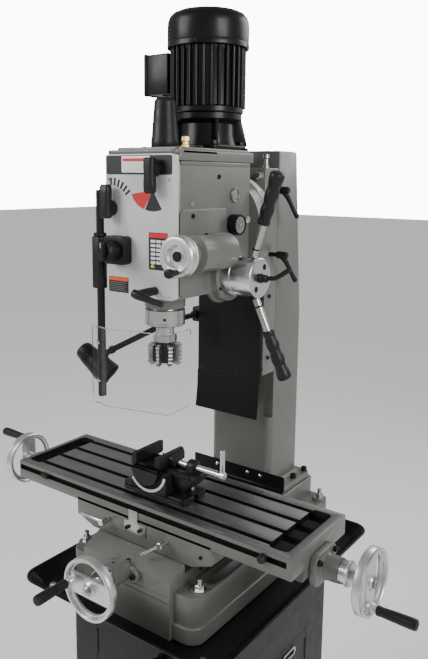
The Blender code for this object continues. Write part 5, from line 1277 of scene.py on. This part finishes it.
def make_controls(front):
    """Shift levers, rotary switch with its housing, and the quill's lock lever."""
    for name, x, z, sign in (("left", -0.077, 1.687, 1), ("right", 0.049, 1.773, -1)):
        hub = [(0.0, front + 0.01), (0.0078, front + 0.01), (0.0078, front - 0.0004),
            (0.0165, front - 0.0004), (0.0172, front - 0.002), (0.0165, front - 0.012),
            (0.012, front - 0.015), (0.0, front - 0.015)]
        blade = []
        for t, half, thick in ((-0.0215, 0.01, 0.007), (-0.019, 0.0128, 0.0095), (-0.004, 0.013, 0.0105),
            (0.014, 0.0122, 0.01), (0.034, 0.0135, 0.0095), (0.047, 0.0132, 0.0085),
            (0.0518, 0.0105, 0.0055)):
            middle = front - 0.0195
            outline = rounded((x - half, x + half), (middle - thick, middle + thick), min(half, thick) * 0.7,
                5)
            blade.append([(a, b, z + sign * t) for a, b in outline])
        piece(f"shift_{name}_lever", f"shift_{name}",
            [(turned(hub, "Y", (x, z)), PLASTIC), (loft(blade), GRIP)], replaces=[f"shift_lever_{name}"])
    spot = (-0.05, 1.598)
    plate = soften(prism(rounded((-0.081, -0.019), (1.567, 1.629), 0.01), "Y", front - 0.0255,
        front - 0.0001), 0.003)
    plate = with_cuts(plate, [rod(0.0086, "Y", spot, front - 0.03, front + 0.01)])
    piece("switch_housing", "head", [(plate, PLASTIC)])
    face = front - 0.026
    knob = [(0.0, face + 0.006), (0.0078, face + 0.006), (0.0078, face - 0.0003), (0.0222, face - 0.0003),
        (0.023, face - 0.002), (0.0222, face - 0.02), (0.0215, face - 0.0275), (0.02, face - 0.0295),
        (0.015, face - 0.03), (0.0145, face - 0.027), (0.0, face - 0.027)]
    bar = soften(box((spot[0] - 0.005, spot[0] + 0.005), (face - 0.0395, face - 0.024),
        (spot[1] - 0.0205, spot[1] + 0.0205)), 0.0022)
    shapes = [(turned(knob, "Y", spot), PLASTIC), (bar, GRIP), (box((spot[0] - 0.0006, spot[0] + 0.0006),
        (face - 0.0397, face - 0.039), (spot[1] + 0.008, spot[1] + 0.0185)), WHITE_INK)]
    for k in range(24):
        ridge = box((spot[0] - 0.0008, spot[0] + 0.0008), (face - 0.019, face - 0.003),
            (spot[1] + 0.0215, spot[1] + 0.0234))
        shapes.append((turn(ridge, 15.0 * k, "Y", (spot[0], 0.0, spot[1])), PLASTIC))
    piece("switch_dial", "switch", shapes, replaces=["switch_knob"])
    x, z = 0.046, 1.516
    end = front - 0.06
    stem = [(0.0, front + 0.01), (0.0078, front + 0.01), (0.0078, front - 0.0004), (0.0092, front - 0.002),
        (0.0092, front - 0.03), (0.008, end + 0.006), (0.0, end + 0.006)]
    arm = sweep([(x - 0.007, end, z + 0.002), (x + 0.004, end, z - 0.001),
        (x + 0.03, end + 0.003, z - 0.008), (x + 0.0625, end + 0.008, z - 0.0155)],
        [0.0088, 0.0098, 0.0072, 0.0062])
    piece("quill_clamp", "quill_lock", [(turned(stem, "Y", (x, z)), PLASTIC),
        (arm, PLASTIC)], replaces=["quill_lock_lever"])


# ---------------------------------------------------------------- motor
def make_motor():
    """Finned motor on its flared, ribbed adapter, with a vented domed cowl and a terminal box."""
    centre = (0.0, -0.016)
    low, high = MACHINE["motor_adapter"]
    plate = soften(prism(rounded((low.x, high.x), (-0.094, 0.039), 0.012), "Z", low.z, 1.829), 0.003)
    plate = with_cuts(plate, [rod(0.014, "Z", centre, 1.8, 1.86, ROUND)])
    cone = [(0.045, 1.86), (0.045, high.z), (0.0765, high.z), (0.08, high.z - 0.0015),
        (0.08, 1.888), (0.076, 1.885), (0.062, 1.878), (0.064, 1.85), (0.07, 1.8285),
        (0.014, 1.8285), (0.014, 1.86)]
    shapes = [(plate, BLACK), (turned(cone, "Z", centre, 64), BLACK)]
    for degrees in (38.0, 142.0, 218.0, 322.0):
        web = [(centre[0] + 0.055, 1.828), (centre[0] + 0.094, 1.828), (centre[0] + 0.094, 1.833),
            (centre[0] + 0.0795, 1.89), (centre[0] + 0.055, 1.89)]
        web = soften(prism(web, "Y", centre[1] - 0.0045, centre[1] + 0.0045), 0.0015, 2)
        shapes.append((turn(web, degrees, "Z", (*centre, 0.0)), BLACK))
    piece("motor_mount", "head", shapes, replaces=["motor_adapter"])
    bolts = []
    for x in (-0.066, 0.066):
        for y in (-0.082, 0.027):
            bolts += hex_bolt("Z", (x, y), 1.8293, 1.839, 0.013, DARK)
    piece("motor_mount_bolts", "head", bolts)
    z0, z1 = MACHINE["motor_body"][0].z, MACHINE["motor_body"][1].z
    shell = [(0.066, z0), (0.082, z0), (0.0838, z0 + 0.002), (0.0838, z0 + 0.012), (0.08, z0 + 0.016),
        (0.08, z1 - 0.01), (0.082, z1 - 0.006), (0.082, z1), (0.066, z1)]
    shapes = [(turned(shell, "Z", centre, 96), BLACK)]
    for k in range(30):
        angle = 360.0 * k / 30
        if 160.0 < angle < 200.0:
            continue
        fin = [(0.0785, -0.0042), (0.086, -0.0032), (0.0885, -0.0016), (0.0885, 0.0016), (0.086, 0.0032),
            (0.0785, 0.0042)]
        blade = prism([(centre[0] + a, centre[1] + b) for a, b in fin], "Z", z0 + 0.012, z1 + 0.006)
        shapes.append((turn(soften(blade, 0.0012, 1), angle, "Z", (*centre, 0.0)), BLACK))
    piece("motor_shell", "head", shapes, replaces=["motor_body"])
    cover_low, cover_high = MACHINE["motor_fan_cover"]
    top, outer = cover_high.z, 0.095
    cup = [(0.091, cover_low.z), (0.094, cover_low.z), (outer, cover_low.z + 0.001),
        (outer, cover_low.z + 0.01), (0.094, cover_low.z + 0.0125), (0.0945, cover_low.z + 0.015),
        (0.0945, top - 0.046), (0.0935, top - 0.036), (0.09, top - 0.0265), (0.083, top - 0.019),
        (0.073, top - 0.0145), (0.058, top - 0.011), (0.04, top - 0.008), (0.02, top - 0.006),
        (0.0, top - 0.0055), (0.0, top - 0.0085), (0.038, top - 0.011), (0.07, top - 0.018),
        (0.086, top - 0.027), (0.091, top - 0.04)]
    shape = turned(cup, "Z", centre, 96)
    vents = []
    for ring, count in ((0.026, 8), (0.044, 12), (0.062, 18), (0.078, 24)):
        for k in range(count):
            angle = 360.0 * k / count
            width = 0.0045
            slot = prism(rounded((centre[0] - width * 1.6, centre[0] + width * 1.6),
                (centre[1] + ring - width * 0.8, centre[1] + ring + width * 0.8), width * 0.75, 4), "Z",
                top - 0.03, top + 0.01)
            vents.append(turn(slot, angle, "Z", (*centre, 0.0)))
    merged = bmesh.new()
    for vent in vents:
        part = bpy.data.meshes.new("vent")
        vent.to_mesh(part)
        vent.free()
        merged.from_mesh(part)
        bpy.data.meshes.remove(part)
    piece("fan_cowl", "head", [(with_cuts(shape, [merged]), BLACK)],
        replaces=["motor_fan_cover"])
    screws = []
    for k in range(4):
        angle = math.radians(20 + 90 * k)
        direction = Vector((math.cos(angle), math.sin(angle), 0.0))
        start = Vector((*centre, cover_low.z + 0.006)) + direction * (outer - 0.002)
        screws.append((sweep([start, start + direction * 0.0035, start + direction * 0.004],
            [0.0042, 0.004, 0.002], 12, 1), DARK))
    piece("cowl_screws", "head", screws)
    give(DARK, "motor_rotor", "gear_shaft")
    make_terminal_box(centre)


def make_terminal_box(centre):
    """Terminal box on the motor's left: lid with screws, saddle to the shell and a cable gland."""
    low, high = MACHINE["junction_box"]
    lid_x = low.x + 0.01
    case = soften(box((lid_x + 0.0012, -0.0845), (low.y + 0.002, high.y - 0.002),
        (low.z + 0.002, high.z - 0.002)), 0.004)
    lid = soften(box((low.x, lid_x), (low.y, high.y), (low.z, high.z)), 0.004)
    # A near-black strip in the gap between lid and case: painted shade.
    seam = box((lid_x - 0.001, lid_x + 0.002), (low.y + 0.003, high.y - 0.003),
        (low.z + 0.003, high.z - 0.003))
    saddle = box((-0.1, -0.06), (centre[1] - 0.034, centre[1] + 0.03), (1.958, 2.036))
    saddle = with_cuts(saddle, [rod(0.0845, "Z", centre, 1.9, 2.1, 96)])
    piece("terminal_case", "head", [(case, BLACK), (lid, BLACK), (seam, RECESS_SHADE),
        (saddle, BLACK)], replaces=["junction_box"])
    screws = []
    for y in (low.y + 0.009, high.y - 0.009):
        for z in (low.z + 0.009, high.z - 0.009):
            screws.append(socket_screw("X", (y, z), low.x - 0.0022, low.x - CLEAR, 0.0036, DARK, -1))
    piece("terminal_screws", "head", screws)
    z = low.z - CLEAR
    gland = [(0.0, z), (0.012, z), (0.012, z - 0.006), (0.0095, z - 0.007), (0.0095, z - 0.016),
        (0.007, z - 0.019), (0.0, z - 0.019)]
    piece("cable_gland", "head", [(turned(gland, "Z", (-0.125, centre[1]), 12), PLASTIC)])


# ---------------------------------------------------------------- quill, feeds and cutter
def make_quill():
    """Quill, spindle nose and a shell mill with wavy-edged ribs."""
    centre = (0.0, -0.173)
    low = MACHINE["quill"][0]
    z0, z1 = low.z, 1.4615
    quill = [(0.028, z0), (0.044, z0), (0.0457, z0 + 0.0018), (0.0457, z0 + 0.006), (0.045, z0 + 0.0066),
        (0.045, z0 + 0.0078), (0.0457, z0 + 0.0084), (0.0457, z1 - 0.0015), (0.0442, z1), (0.0375, z1),
        (0.0375, 1.6), (0.0345, 1.602), (0.0345, 1.65), (0.028, 1.65)]
    origin = (*centre, z0)
    piece("quill_sleeve", "quill_unit", [(turned(quill, "Z", centre, 64), TURNED_Z)], origin,
        ["quill"])
    screw = sweep([(0.0455 * math.cos(-0.9), centre[1] + 0.0455 * math.sin(-0.9), z0 + 0.018),
        (0.047 * math.cos(-0.9), centre[1] + 0.047 * math.sin(-0.9), z0 + 0.018)], [0.0036, 0.003], 12, 1)
    piece("quill_clamp_screw", "quill_unit", [(screw, DARK)])
    mill_low, mill_high = MACHINE["face_mill"]
    nose = [(0.0, mill_low.z + 0.012), (0.01, mill_low.z + 0.012), (0.01, mill_high.z + CLEAR),
        (0.024, mill_high.z + CLEAR), (0.0255, mill_high.z + 0.002), (0.0255, 1.401), (0.024, 1.4025),
        (0.0205, 1.403), (0.0205, 1.42), (0.0255, 1.427), (0.0255, 1.44), (0.02, 1.442),
        (0.02, 1.64), (0.0165, 1.645), (0.0165, 1.76), (0.0, 1.76)]
    shapes = [(turned(nose, "Z", centre, 64), TURNED_Z)]
    for degrees in (20.0, 200.0):
        key = soften(box((0.017, 0.0262), (centre[1] - 0.0055, centre[1] + 0.0055), (1.386, 1.399)),
            0.0006, 1)
        shapes.append((turn(key, degrees, "Z", (*centre, 0.0)), DARK))
    piece("spindle_nose", "spindle_unit", shapes, origin, ["spindle"])
    body = [(0.0103, mill_high.z), (0.0225, mill_high.z), (0.0235, mill_high.z - 0.001),
        (0.0235, mill_low.z + 0.006), (0.02, mill_low.z + 0.004), (0.018, mill_low.z + 0.01),
        (0.0103, mill_low.z + 0.01)]
    shapes = [(turned(body, "Z", centre, 64), DARK)]
    crest = []
    top, bottom = mill_high.z - 0.004, mill_low.z
    waves = 5
    for k in range(waves * 6 + 1):
        height = bottom + 0.004 + (top - bottom - 0.006) * k / (waves * 6)
        crest.append((0.0375 + 0.0025 * abs(math.sin(math.pi * k / 6)), height))
    blade = [(0.02, bottom + 0.002), (0.034, bottom)] + crest + [(0.033, top), (0.02, top)]
    for k in range(8):
        tooth = prism([(a, b) for a, b in blade], "Y", centre[1] - 0.0042, centre[1] + 0.0034)
        tooth = soften(tooth, 0.0005, 1)
        shapes.append((turn(tooth, 45.0 * k + 14.0, "Z", (*centre, 0.0)), INSERT))
        land = box((0.0205, 0.03), (centre[1] - 0.003, centre[1] + 0.0085), (bottom + 0.008, top - 0.002))
        shapes.append((turn(soften(land, 0.002, 2), 45.0 * k + 14.0, "Z", (*centre, 0.0)), DARK))
    piece("milling_head", "spindle_unit", shapes, origin, ["face_mill"])


def grip_shapes(root, direction, length):
    """A feed handle: bright rod, then a waisted black grip with an oval swell for each finger."""
    def at(distance):
        return root + direction * distance

    bar = sweep([at(0.0), at(0.004), at(length * 0.45)], [0.0075, 0.0084, 0.0084], FINE, 1)
    ring = sweep([at(0.0165), at(0.0175), at(0.0195), at(0.0205)], [0.0084, 0.0088, 0.0088, 0.0084], FINE, 1)
    spans = (0.395, 0.4, 0.425, 0.47, 0.53, 0.58, 0.64, 0.7, 0.76, 0.82, 0.88, 0.93, 0.965, 0.988, 1.0)
    radii = (0.01, 0.0135, 0.0142, 0.0128, 0.0148, 0.015, 0.0127, 0.015, 0.0152, 0.013, 0.0152, 0.0162,
        0.016, 0.014, 0.009)
    grip = sweep([at(length * span) for span in spans], radii, 32, 4)
    return [(bar, STEEL), (ring, DARK), (grip, GRIP)]


def make_feeds():
    """Coarse feed hub with its handles and clutch lever, and the fine feed wheel."""
    y, z = -0.08, 1.537
    centre = (y, z)
    face = 0.195
    start = 0.1188
    drum = [(0.0, 0.01), (0.012, 0.01), (0.012, start), (0.0438, start), (0.0448, start + 0.001),
        (0.0448, 0.14), (0.0436, 0.1408), (0.0436, 0.1416), (0.0448, 0.1424), (0.045, 0.156),
        (0.045, face - 0.0032), (0.0436, face - 0.0008), (0.0425, face - 0.0002), (0.04, face),
        (0.015, face), (0.014, face - 0.0015), (0.0, face - 0.0015)]
    pinion = [(0.0, -0.016), (0.014, -0.016), (0.014, 0.016), (0.0, 0.016)]
    origin = (0.0, y, z)
    shapes = [(turned(drum, "X", centre, 96), TURNED_X), (turned(pinion, "X", centre, FINE), STEEL)]
    for k in range(60):
        reach = 0.0075 if k % 5 == 0 else 0.0045
        mark = box((start + 0.0022, start + 0.0022 + reach), (y - 0.00025, y + 0.00025),
            (z + 0.0446, z + 0.0451))
        shapes.append((turn(mark, 6.0 * k, "X", (0.0, y, z)), BLACK_INK))
    # Near-black discs at the handle sockets stand in for holes: painted shade.
    for degrees in (-125.0, 55.0):
        hole = [(0.0, face - 0.0006), (0.0068, face - 0.0006), (0.0068, face + 0.0002),
            (0.0078, face + 0.0002), (0.0078, face - 0.001), (0.0, face - 0.001)]
        angle = math.radians(degrees)
        spot = (y + 0.0285 * math.cos(angle), z + 0.0285 * math.sin(angle))
        shapes.append((turned(hole[:2] + [(0.0068, face + 0.0004), (0.0, face + 0.0004)], "X", spot, FINE),
            RECESS_SHADE))
    piece("feed_drum", "feed_unit", shapes, origin, ["feed_hub"])
    for name, side, reach in (("upper", 1, 0.2325), ("lower", -1, 0.229)):
        spoke = Vector((0.0, -0.12, 0.9928)) * side
        root = Vector((face - 0.015, y, z)) + spoke * 0.0457
        tip = Vector((0.25, y, z)) + spoke * reach
        direction = (tip - root).normalized()
        piece(f"feed_spoke_{name}", "feed_unit", grip_shapes(root + direction * 0.003,
            direction, (tip - root).length - 0.003), replaces=[f"feed_handle_{name}"])
    lever_root = face + CLEAR
    hub = [(0.0, lever_root - 0.0012), (0.0105, lever_root - 0.0012), (0.0105, lever_root + 0.004),
        (0.0088, lever_root + 0.006), (0.0088, lever_root + 0.0165), (0.007, lever_root + 0.018),
        (0.0, lever_root + 0.018)]
    arm = sweep([(lever_root + 0.009, y, z), (lever_root + 0.022, y + 0.006, z + 0.001),
        (lever_root + 0.034, y + 0.013, z + 0.003), (lever_root + 0.056, y + 0.029, z + 0.0205)],
        [0.0054, 0.005, 0.0052, 0.0058])
    tip = sweep([(lever_root + 0.0565, y + 0.029, z + 0.0208), (lever_root + 0.06, y + 0.0308,
        z + 0.0238)], [0.0058, 0.0034], FINE, 1)
    piece("clutch_arm", "clutch", [(turned(hub, "X", centre, FINE), PLASTIC),
        (arm, PLASTIC), (tip, PLASTIC)], replaces=["clutch_lever"])
    fx, fz = 0.131, 1.598
    low = MACHINE["fine_feed_wheel"][0]
    front = low.y + 0.03
    barrel = -0.2443
    wheel = [(0.0, front + 0.0075), (0.0115, front + 0.0075), (0.0125, front + 0.01),
        (0.019, front + 0.01), (0.024, front + 0.0035), (0.0275, front + 0.0008), (0.034, front),
        (0.04, front + 0.0012), (0.0426, front + 0.0045), (0.043, front + 0.009),
        (0.043, front + 0.016), (0.0405, front + 0.0185), (0.0405, front + 0.0205),
        (0.0425, front + 0.0225), (0.042, front + 0.025), (0.037, front + 0.0262),
        (0.02, front + 0.0268), (0.018, front + 0.029), (0.024, front + 0.032),
        (0.026, front + 0.0345), (0.026, barrel - 0.001), (0.025, barrel), (0.01, barrel),
        (0.01, -0.205), (0.0, -0.205)]
    shapes = [(turned(wheel, "Y", (fx, fz), 96), ALUMINIUM)]
    cap = [(0.0, front + 0.007), (0.0108, front + 0.007), (0.0108, front + 0.0055),
        (0.0095, front + 0.0045), (0.0, front + 0.0042)]
    shapes.append((turned(cap, "Y", (fx, fz)), PLASTIC))
    spot = (fx + 0.004, fz - 0.031)
    knob = [(0.0, front + 0.002), (0.0062, front + 0.002), (0.0066, front - 0.003), (0.0072, front - 0.01),
        (0.0096, front - 0.018), (0.01, front - 0.025), (0.0088, front - 0.0285), (0.0045, front - 0.0294),
        (0.0036, front - 0.0285), (0.0, front - 0.0283)]
    shapes.append((turned(knob, "Y", spot, 32), GRIP))
    piece("fine_wheel", "fine_feed", shapes, (fx, front, fz), ["fine_feed_wheel"])


# ---------------------------------------------------------------- guard and lamp
def smooth_corners(corners, bend):
    """A folded sheet's line with every corner rounded."""
    path = [corners[0]]
    for before, corner, after in zip(corners, corners[1:], corners[2:]):
        corner = Vector(corner)
        start = corner + (Vector(before) - corner).normalized() * bend
        end = corner + (Vector(after) - corner).normalized() * bend
        for k in range(7):
            t = k / 6
            point = start * (1 - t) ** 2 + corner * (2 * t * (1 - t)) + end * t ** 2
            path.append((point.x, point.y))
    return path + [corners[-1]]


def make_guard():
    """Cutter guard: clamp block, rod with a stop cap, and the folded clear shield with its screws."""
    gx, gy = -0.122, -0.254
    low, high = MACHINE["guard_clamp"]
    outline = rounded((gx - 0.016, gx + 0.016), (gy - 0.016, gy + 0.016), 0.01)
    sleeve = soften(with_cuts(prism(outline, "Z", low.z, high.z), [rod(0.0104, "Z", (gx, gy), 1.45, 1.7,
        ROUND)]), 0.0014, 2)
    arm = soften(box((gx + 0.012, -0.0953), (gy - 0.006, gy + 0.013), (1.53, 1.6)), 0.0025)
    shapes = [(sleeve, PLASTIC), (arm, PLASTIC)]
    shapes.append((turned([(0.0104, low.z - 0.0), (0.0135, low.z), (0.015, low.z + 0.004),
        (0.015, low.z + 0.01), (0.0104, low.z + 0.01)], "Z", (gx, gy)), PLASTIC))
    for z in (1.548, 1.582):
        shapes.append(socket_screw("X", (gy, z), gx - 0.0195, gx - 0.0155, 0.0046, CHROME, -1))
    piece("guard_holder", "head", shapes, replaces=["guard_clamp"])
    rod_low, rod_high = MACHINE["guard_rod"]
    profile = [(0.0, rod_low.z), (0.0075, rod_low.z), (0.0088, rod_low.z + 0.0015),
        (0.0088, rod_high.z - 0.0015), (0.007, rod_high.z), (0.0, rod_high.z)]
    collar = [(0.0092, 1.6225), (0.014, 1.6225), (0.015, 1.624), (0.015, 1.63), (0.0092, 1.631)]
    piece("guard_post", "guard", [(turned(profile, "Z", (gx, gy), 32), PLASTIC),
        (turned(collar, "Z", (gx, gy), 32), PLASTIC)], replaces=["guard_rod"])
    shield_low, shield_high = MACHINE["guard_shield"]
    thick = 0.0028
    back = gy - 0.0103
    corners = [(-0.14, back), (-0.112, back), (-0.09, -0.272), (0.0615, -0.236), (0.056, -0.153)]
    path = smooth_corners(corners, 0.007)
    inner, outer = [], []
    for i, (px, py) in enumerate(path):
        ahead = path[min(i + 1, len(path) - 1)]
        behind = path[max(i - 1, 0)]
        heading = Vector((ahead[0] - behind[0], ahead[1] - behind[1])).normalized()
        inner.append((px, py))
        outer.append((px + heading.y * thick, py - heading.x * thick))
    outline = inner + outer[::-1]
    body = prism(outline, "Z", shield_low.z, shield_high.z)
    piece("clear_shield", "guard", [(body, CLEAR_SHEET)], replaces=["guard_shield"])
    # Thin whiter strips along the shield's top and bottom edges are a painted highlight.
    edges = []
    for z in (shield_low.z + 0.0002, shield_high.z - 0.0014):
        edges.append((prism(outline, "Z", z, z + 0.0012), EDGE_HIGHLIGHT))
    piece("shield_edge_highlights", "guard", edges)
    screws = []
    for z in (1.29, 1.38):
        dome = [(0.0, back + 0.0002), (0.0052, back + 0.0002), (0.0052, back - thick - 0.0012),
            (0.004, back - thick - 0.0026), (0.0, back - thick - 0.003)]
        screws.append((turned(dome, "Y", (gx, z), FINE), CHROME))
    piece("shield_screws", "guard", screws)


def make_lamp():
    """Work lamp: bracket, cranked arm with its clamp collar, ribbed shade and bulb."""
    low, high = MACHINE["lamp_bracket"]
    block = soften(box((low.x, high.x), (low.y, high.y), (low.z, high.z)), 0.004)
    shapes = [(block, PLASTIC), socket_screw("X", (0.115, 1.402), low.x - 0.003, low.x - CLEAR, 0.0045,
        CHROME, -1), socket_screw("X", (0.115, 1.38), low.x - 0.003, low.x - CLEAR, 0.0045, CHROME, -1)]
    piece("lamp_mount", "slide_unit", shapes, replaces=["lamp_bracket"])
    start = Vector((-0.115, 0.0977, 1.391))
    elbow = Vector((-0.115, -0.01, 1.39))
    crown = Vector((-0.28, -0.168, 1.326))
    aim = Vector((0.776, 0.175, -0.606)).normalized()
    side = (Vector((0.0, 0.0, 1.0)) + aim * 0.606).normalized()
    seat = crown + aim * 0.058 + side * 0.03
    end = seat + (elbow - seat).normalized() * 0.014
    reach = end - elbow
    arm = sweep([start, start.lerp(elbow, 0.6), elbow + Vector((0.0, 0.012, 0.0)), elbow + reach * 0.05,
        elbow + reach * 0.4, end], [0.0075] * 6, 32)
    joint = sweep([elbow + Vector((0.0, 0.014, 0.001)), elbow, elbow + reach * 0.07],
        [0.0088, 0.0096, 0.0088], 32, 6)
    collar = sweep([elbow + reach * 0.9, elbow + reach * 0.905, elbow + reach * 0.97,
        elbow + reach * 0.975], [0.008, 0.0098, 0.0098, 0.008], FINE, 1)
    ring = sweep([start, start - Vector((0.0, 0.012, 0.0))], [0.012, 0.011], FINE, 1)
    piece("lamp_boom", "lamp_lower", [(arm, PLASTIC), (joint, PLASTIC), (collar, PLASTIC),
        (ring, PLASTIC)], replaces=["lamp_arm"])
    direction = reach.normalized()
    profile = [(0.0, 0.0), (0.011, 0.0004), (0.017, 0.0022), (0.021, 0.006), (0.0228, 0.011),
        (0.0236, 0.02)]
    for k in range(4):
        level = 0.024 + 0.0052 * k
        grow = 0.0238 + 0.0005 * k
        profile += [(grow, level), (grow + 0.0012, level + 0.0006), (grow + 0.0012, level + 0.0026),
            (grow + 0.0002, level + 0.0032)]
    profile += [(0.0268, 0.048), (0.03, 0.078), (0.0322, 0.098), (0.033, 0.102), (0.0326, 0.104),
        (0.0306, 0.1038), (0.03, 0.098), (0.0262, 0.062), (0.024, 0.052), (0.012, 0.05),
        (0.0, 0.05)]
    guide = aim.orthogonal().normalized()
    across = aim.cross(guide)
    shade = turned(profile, "Z", (0.0, 0.0), 64)
    matrix = Matrix((guide, across, aim)).transposed().to_4x4()
    bulb = turned([(0.0, 0.0495), (0.0085, 0.05), (0.009, 0.056), (0.0125, 0.062), (0.016, 0.07),
        (0.0168, 0.078), (0.0145, 0.086), (0.0085, 0.0915), (0.0, 0.093)], "Z", (0.0, 0.0), 48)
    for shape in (shade, bulb):
        bmesh.ops.transform(shape, matrix=Matrix.Translation(crown) @ matrix, verts=shape.verts)
    neck = sweep([end + direction * 0.0004, end + direction * 0.01, end + direction * 0.017],
        [0.0088, 0.0096, 0.008], FINE, 1)
    piece("lamp_shade_body", "lamp_shade", [(shade, PLASTIC), (neck, PLASTIC)],
        replaces=["lamp_head"])
    piece("lamp_bulb", "lamp_shade", [(bulb, bulb_glass())])


# ---------------------------------------------------------------- camera, light and floor
def set_camera():
    """Camera at the photograph's viewing angle, a little above the spindle, looking down at the machine."""
    azimuth, elevation, roll = math.radians(36.4), math.radians(9.2), math.radians(0.52)
    back = Vector((math.sin(azimuth) * math.cos(elevation), -math.cos(azimuth) * math.cos(elevation),
        math.sin(elevation)))
    level = Vector((math.cos(azimuth), math.sin(azimuth), 0.0))
    above = back.cross(level)
    right = level * math.cos(roll) + above * math.sin(roll)
    up = above * math.cos(roll) - level * math.sin(roll)
    data = bpy.data.cameras.new("camera")
    data.sensor_fit = "VERTICAL"
    data.sensor_height = 36.0
    data.lens = 38.4
    data.shift_x = 0.0182
    data.shift_y = -0.0569
    data.clip_start = 0.05
    data.clip_end = 60.0
    camera = bpy.data.objects.new("camera", data)
    camera.matrix_world = Matrix.Translation((1.0018, -1.3905, 1.7536)) @ Matrix((right, up,
        back)).transposed().to_4x4()
    bpy.context.scene.collection.objects.link(camera)
    bpy.context.scene.camera = camera


def add_light(name, spot, target, size, power, spread=180.0):
    """A soft rectangular studio light aimed at a point."""
    data = bpy.data.lights.new(name, "AREA")
    data.shape = "RECTANGLE"
    data.size, data.size_y = size
    data.energy = power
    data.spread = math.radians(spread)
    light = bpy.data.objects.new(name, data)
    light.location = spot
    light.rotation_euler = (Vector(target) - Vector(spot)).to_track_quat("-Z", "Y").to_euler()
    bpy.context.scene.collection.objects.link(light)


def set_studio():
    """Pale floor, white surroundings and soft lights."""
    world = bpy.data.worlds.new("studio")
    world.use_nodes = True
    tree = world.node_tree
    soft = tree.nodes["Background"]
    soft.inputs["Color"].default_value = (1.0, 1.0, 1.0, 1.0)
    soft.inputs["Strength"].default_value = 0.34
    white = tree.nodes.new("ShaderNodeBackground")
    white.inputs["Strength"].default_value = 14.0
    seen = tree.nodes.new("ShaderNodeLightPath")
    mix = tree.nodes.new("ShaderNodeMixShader")
    tree.links.new(seen.outputs["Is Camera Ray"], mix.inputs["Fac"])
    tree.links.new(soft.outputs["Background"], mix.inputs[1])
    tree.links.new(white.outputs["Background"], mix.inputs[2])
    tree.links.new(mix.outputs["Shader"], tree.nodes["World Output"].inputs["Surface"])
    bpy.context.scene.world = world
    nodes = Nodes("studio_floor")
    nodes.drive("Base Color", nodes.blend(nodes.noise(0.8), (0.86, 0.86, 0.86, 1.0),
        (0.9, 0.9, 0.9, 1.0)))
    nodes.shader.inputs["Roughness"].default_value = 0.75
    nodes.shader.inputs["Emission Color"].default_value = (1.0, 1.0, 1.0, 1.0)
    nodes.shader.inputs["Emission Strength"].default_value = 0.3
    mesh = bpy.data.meshes.new("studio_floor")
    half = 30.0
    mesh.from_pydata([(-half, -half, 0.0), (half, -half, 0.0), (half, half, 0.0), (-half, half, 0.0)], [],
        [(0, 1, 2, 3)])
    mesh.materials.append(nodes.material)
    floor = bpy.data.objects.new("studio_floor", mesh)
    floor.location.z = -0.0005
    bpy.context.scene.collection.objects.link(floor)
    add_light("key", (-1.7, -2.3, 2.9), (0.0, -0.05, 1.3), (1.5, 1.5), 66.0)
    add_light("fill", (2.5, -0.7, 2.5), (0.05, 0.05, 1.75), (1.2, 1.2), 12.0, 80.0)
    add_light("rim", (0.8, 2.4, 2.8), (0.0, 0.0, 1.4), (2.0, 1.2), 30.0)


set_camera()
set_studio()
make_stand()
make_tray()
make_base()
make_column()
make_cross_feed()
make_table_feed()
make_saddle()
make_table()
make_vise()
make_slide()
make_head()
make_motor()
make_quill()
make_feeds()
make_guard()
make_lamp()
